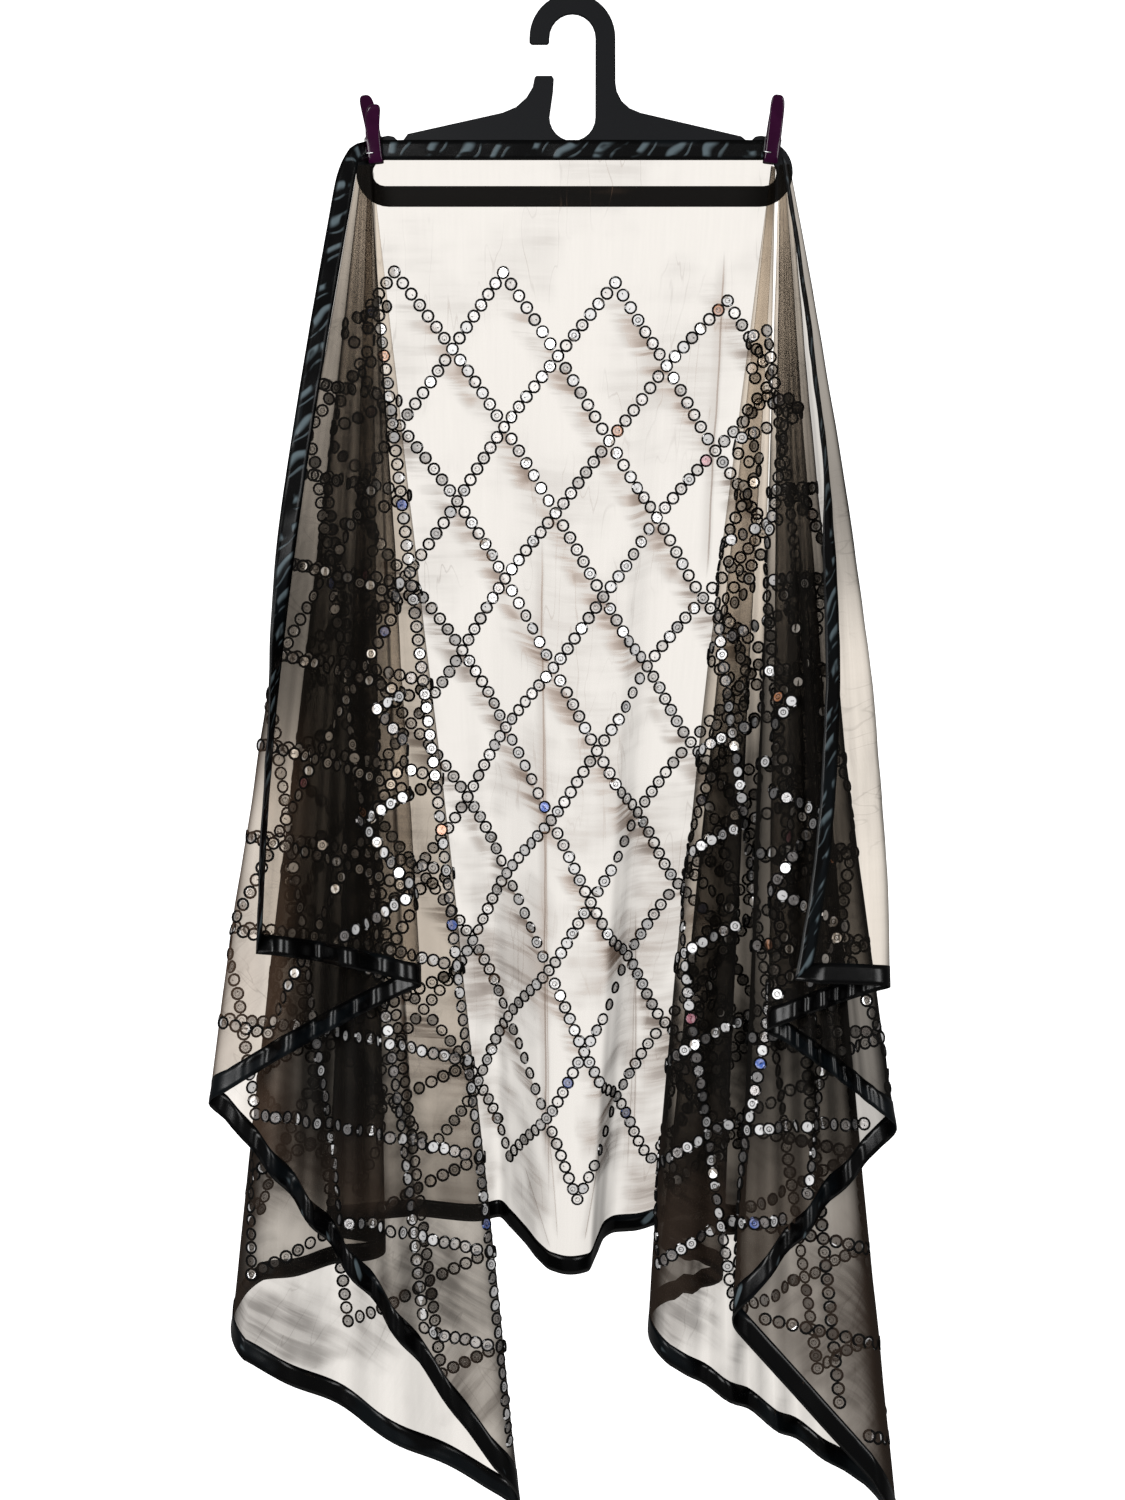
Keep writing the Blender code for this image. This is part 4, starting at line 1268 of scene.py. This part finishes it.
LEVER_STATIONS = (
    Station(0.0, 0.0, 3.2, 6.7),
    Station(0.8, 0.0, 3.8, 6.9),
    Station(6.0, 0.0, 5.2, 6.9),
    Station(12.0, 0.0, 5.6, 6.9),
    Station(19.0, 0.3, 6.0, 6.9),
    Station(21.5, 2.8, 6.2, 6.9),
    Station(27.0, 3.2, 7.2, 6.9),
    Station(32.0, 4.0, 8.2, 6.9),
    Station(38.0, 5.0, 9.4, 6.9),
    Station(45.0, 6.9, 11.2, 6.9),
    Station(51.0, 8.6, 12.8, 6.9),
    Station(55.5, 9.8, 13.9, 6.5),
    Station(58.2, 10.6, 14.0, 5.5),
    Station(59.8, 11.2, 13.8, 3.9),
    Station(60.5, 11.8, 13.2, 1.7),
)

# The spring's wire from the lever's face round to the coil, in mm.
ArmPoint = namedtuple("ArmPoint", "beside out up")

SPRING_ARM = (
    ArmPoint(-6.6, 6.8, 9.5),
    ArmPoint(-1.0, 6.8, 9.5),
    ArmPoint(0.0, 5.8, 10.2),
    ArmPoint(0.0, 4.9, 16.5),
    ArmPoint(0.0, 0.9, 23.5),
)


class Peg:
    """Where one peg stands: its jaw's tip is the pivot of its lean."""

    def __init__(self, stand):
        self.foot = Vector((stand.x, 0.0, CLOTH_TOP_Z - RIBBON + JAW_FOOT_UP))
        self.lean = math.radians(stand.lean)
        self.turn = math.radians(stand.turn)
        self.dip = stand.dip

    def place(self, across, out, up):
        """A point from its place across the peg's width, out from the bar and up from the jaw."""
        share = min(max((up - TURN_FROM_UP) / TURN_OVER, 0.0), 1.0)
        swing = self.turn * share
        shifted = across - math.sin(swing) * out
        tilted = shifted * math.cos(self.lean) + up * math.sin(self.lean)
        height = up * math.cos(self.lean) - shifted * math.sin(self.lean) - out * self.dip * share
        return self.foot + Vector((tilted, -out * math.cos(swing / 2), height))


def loft(rings):
    """A closed form through rings of points."""
    shape = bmesh.new()
    before = None
    for number, ring in enumerate(rings):
        ends = number in (0, len(rings) - 1)
        made = bmesh.ops.create_circle(shape, segments=len(ring), radius=MM, cap_ends=ends)["verts"]
        for vert, place in zip(made, ring):
            vert.co = place
        loop = {edge for vert in made for edge in vert.link_edges}
        if before:
            bmesh.ops.bridge_loops(shape, edges=list(before | loop))
        before = loop
    bmesh.ops.recalc_face_normals(shape, faces=shape.faces)
    return shape


def make_lever(name, peg, side, gap, node, material):
    """One lever: rounded sections carried up from the jaw's tip."""
    rings = []
    for station in LEVER_STATIONS:
        middle = (station.inner + station.outer) / 2
        deep = (station.outer - station.inner) / 2
        ring = []
        for step in range(LEVER_SIDES):
            angle = 2 * math.pi * (step + 0.5) / LEVER_SIDES
            cosine = math.copysign(abs(math.cos(angle)) ** PEG_CORNER, math.cos(angle))
            sine = math.copysign(abs(math.sin(angle)) ** PEG_CORNER, math.sin(angle))
            across = station.half_width * cosine * MM
            out = side * (gap + (middle + deep * sine) * MM)
            ring.append(peg.place(across, out, station.up * MM))
        rings.append(ring)
    item = finished(name, loft(rings), [material])
    fine = item.modifiers.new("fine", "SUBSURF")
    fine.levels = 1
    fine.render_levels = 1
    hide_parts(node)
    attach(item, "root")
    return item


def spring_arm(peg, side, gap):
    """The wire's way from one lever's face to the coil."""
    run_past = PEG_WIDTH / 2 + WIRE + ARM_CLEAR
    return [
        peg.place(-side * (run_past + row.beside * MM), side * (gap + row.out * MM), row.up * MM)
        for row in SPRING_ARM
    ]


def make_spring(name, peg, node, material):
    """One bent wire: an arm over each lever, with the coil between them."""
    steps = round(COIL_TURNS * COIL_STEPS)
    coil = []
    for step in range(steps + 1):
        angle = math.radians(-90.0) + 2 * math.pi * COIL_TURNS * step / steps
        across = PEG_WIDTH / 2 - PEG_WIDTH * step / steps
        out = COIL_RADIUS * math.sin(angle)
        coil.append(peg.place(across, out, COIL_UP + COIL_RADIUS * math.cos(angle)))
    path = spring_arm(peg, -1.0, JAW_BACK_GAP) + coil + spring_arm(peg, 1.0, JAW_FRONT_GAP)[::-1]
    curve = bpy.data.curves.new(name, "CURVE")
    curve.dimensions = "3D"
    curve.bevel_depth = WIRE
    curve.bevel_resolution = 2
    curve.use_fill_caps = True
    spline = curve.splines.new("POLY")
    spline.points.add(len(path) - 1)
    for point, place in zip(spline.points, path):
        point.co = (*place, 1.0)
    holder = bpy.data.objects.new(name + "_path", curve)
    bpy.context.scene.collection.objects.link(holder)
    bpy.context.view_layer.update()
    graph = bpy.context.evaluated_depsgraph_get()
    mesh = bpy.data.meshes.new_from_object(holder.evaluated_get(graph))
    bpy.data.objects.remove(holder)
    mesh.materials.clear()
    mesh.materials.append(material)
    mesh.shade_smooth()
    item = bpy.data.objects.new(name, mesh)
    bpy.context.scene.collection.objects.link(item)
    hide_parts(node)
    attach(item, "root")
    return item


def make_pegs(plastic, steel):
    """Both pegs, each of two levers and a spring."""
    for stand in PEG_STANDS:
        peg = Peg(stand)
        lever = "lever_" + stand.word
        node = "peg_" + stand.word
        make_lever(lever + "_front", peg, 1.0, JAW_FRONT_GAP, node + "_front", plastic)
        make_lever(lever + "_back", peg, -1.0, JAW_BACK_GAP, node + "_back", plastic)
        make_spring("coil_" + stand.word, peg, node + "_spring", steel)


# ---------------------------------------------------------------- studio

ROOM_BRIGHT = 1.6
ROOM_SOFT = 0.14
LAYERS_SEEN_THROUGH = 32

LIGHT_AIM = (0.0, -0.1, -0.75)
Light = namedtuple("Light", "name place size power")

LIGHTS = (
    Light("key", (-1.25, -2.2, -0.1), (1.0, 1.4), 56.0),
    Light("fill", (1.35, -2.1, -0.2), (0.9, 1.4), 34.0),
)

FLOOR_PLACE = (0.0, -0.12, -2.05)
FLOOR_RADIUS = 0.85
FLOOR_SIDES = 96

VIEW_PLACE = (0.0, -2.2, -0.361)
VIEW_TILT = 81.0
VIEW_ASIDE = -0.008
FILM_HEIGHT = 36.0
LENS_LENGTH = 53.33


def make_room():
    """A white room: bright to look at, soft in what it lights."""
    world = bpy.data.worlds.new("room")
    bpy.context.scene.world = world
    world.use_nodes = True
    tree = world.node_tree
    back = tree.nodes["Background"]
    path = tree.nodes.new("ShaderNodeLightPath")
    level = tree.nodes.new("ShaderNodeMapRange")
    level.inputs["To Min"].default_value = ROOM_SOFT
    level.inputs["To Max"].default_value = ROOM_BRIGHT
    tree.links.new(path.outputs["Is Camera Ray"], level.inputs["Value"])
    tree.links.new(level.outputs[0], back.inputs["Strength"])
    back.inputs["Color"].default_value = (1.0, 1.0, 1.0, 1.0)


def make_light(light):
    """A soft rectangular lamp, aimed at the cloth."""
    lamp = bpy.data.lights.new(light.name, "AREA")
    lamp.shape = "RECTANGLE"
    lamp.size, lamp.size_y = light.size
    lamp.energy = light.power
    item = bpy.data.objects.new(light.name, lamp)
    item.location = light.place
    aim = Vector(LIGHT_AIM) - Vector(light.place)
    item.rotation_euler = aim.to_track_quat("-Z", "Y").to_euler()
    bpy.context.scene.collection.objects.link(item)


def make_floor():
    """A round floor below the cloth."""
    shape = bmesh.new()
    bmesh.ops.create_circle(shape, segments=FLOOR_SIDES, radius=FLOOR_RADIUS, cap_ends=True)
    bmesh.ops.translate(shape, verts=shape.verts, vec=FLOOR_PLACE)
    floor = finished("floor", shape, [floor_finish()], False)


def make_camera():
    """A view from the front, a little below the hanger."""
    lens = bpy.data.cameras.new("view")
    lens.sensor_fit = "VERTICAL"
    lens.sensor_height = FILM_HEIGHT
    lens.lens = LENS_LENGTH
    lens.shift_x = VIEW_ASIDE
    camera = bpy.data.objects.new("view", lens)
    camera.location = VIEW_PLACE
    camera.rotation_euler = (math.radians(VIEW_TILT), 0.0, 0.0)
    bpy.context.scene.collection.objects.link(camera)
    bpy.context.scene.camera = camera


# ---------------------------------------------------------------- build

scene = bpy.context.scene
scene.view_settings.view_transform = "Standard"
scene.cycles.transparent_max_bounces = LAYERS_SEEN_THROUGH

make_camera()
make_room()
for light in LIGHTS:
    make_light(light)
make_floor()

net = make_net(net_finish())
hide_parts("net_centre", "net_left_fall", "net_right_fall")
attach(net, "root")

# The top ribbons take the satin whose painted glints come at a steady pitch.
strips = make_ribbons(satin_finish("black_satin", False), satin_finish("gathered_satin", True))

template = sequin_template()
film_and_thread = [film_finish(), thread_finish()]
places = lattice_places()
stretches = {
    "sequins_left": [place for place in places if place[0] < 0],
    "sequins_centre": [place for place in places if 0 <= place[0] <= PEG_SPACING],
    "sequins_right": [place for place in places if place[0] > PEG_SPACING],
}
sequins = [
    make_sequins(name, sewn, template, film_and_thread, FIRST_SEED + number)
    for number, (name, sewn) in enumerate(stretches.items())
]
bpy.data.meshes.remove(template)

make_pegs(peg_finish(), wire_finish())

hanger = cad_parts["hanger"]
hanger.data.materials.clear()
hanger.data.materials.append(hanger_finish())
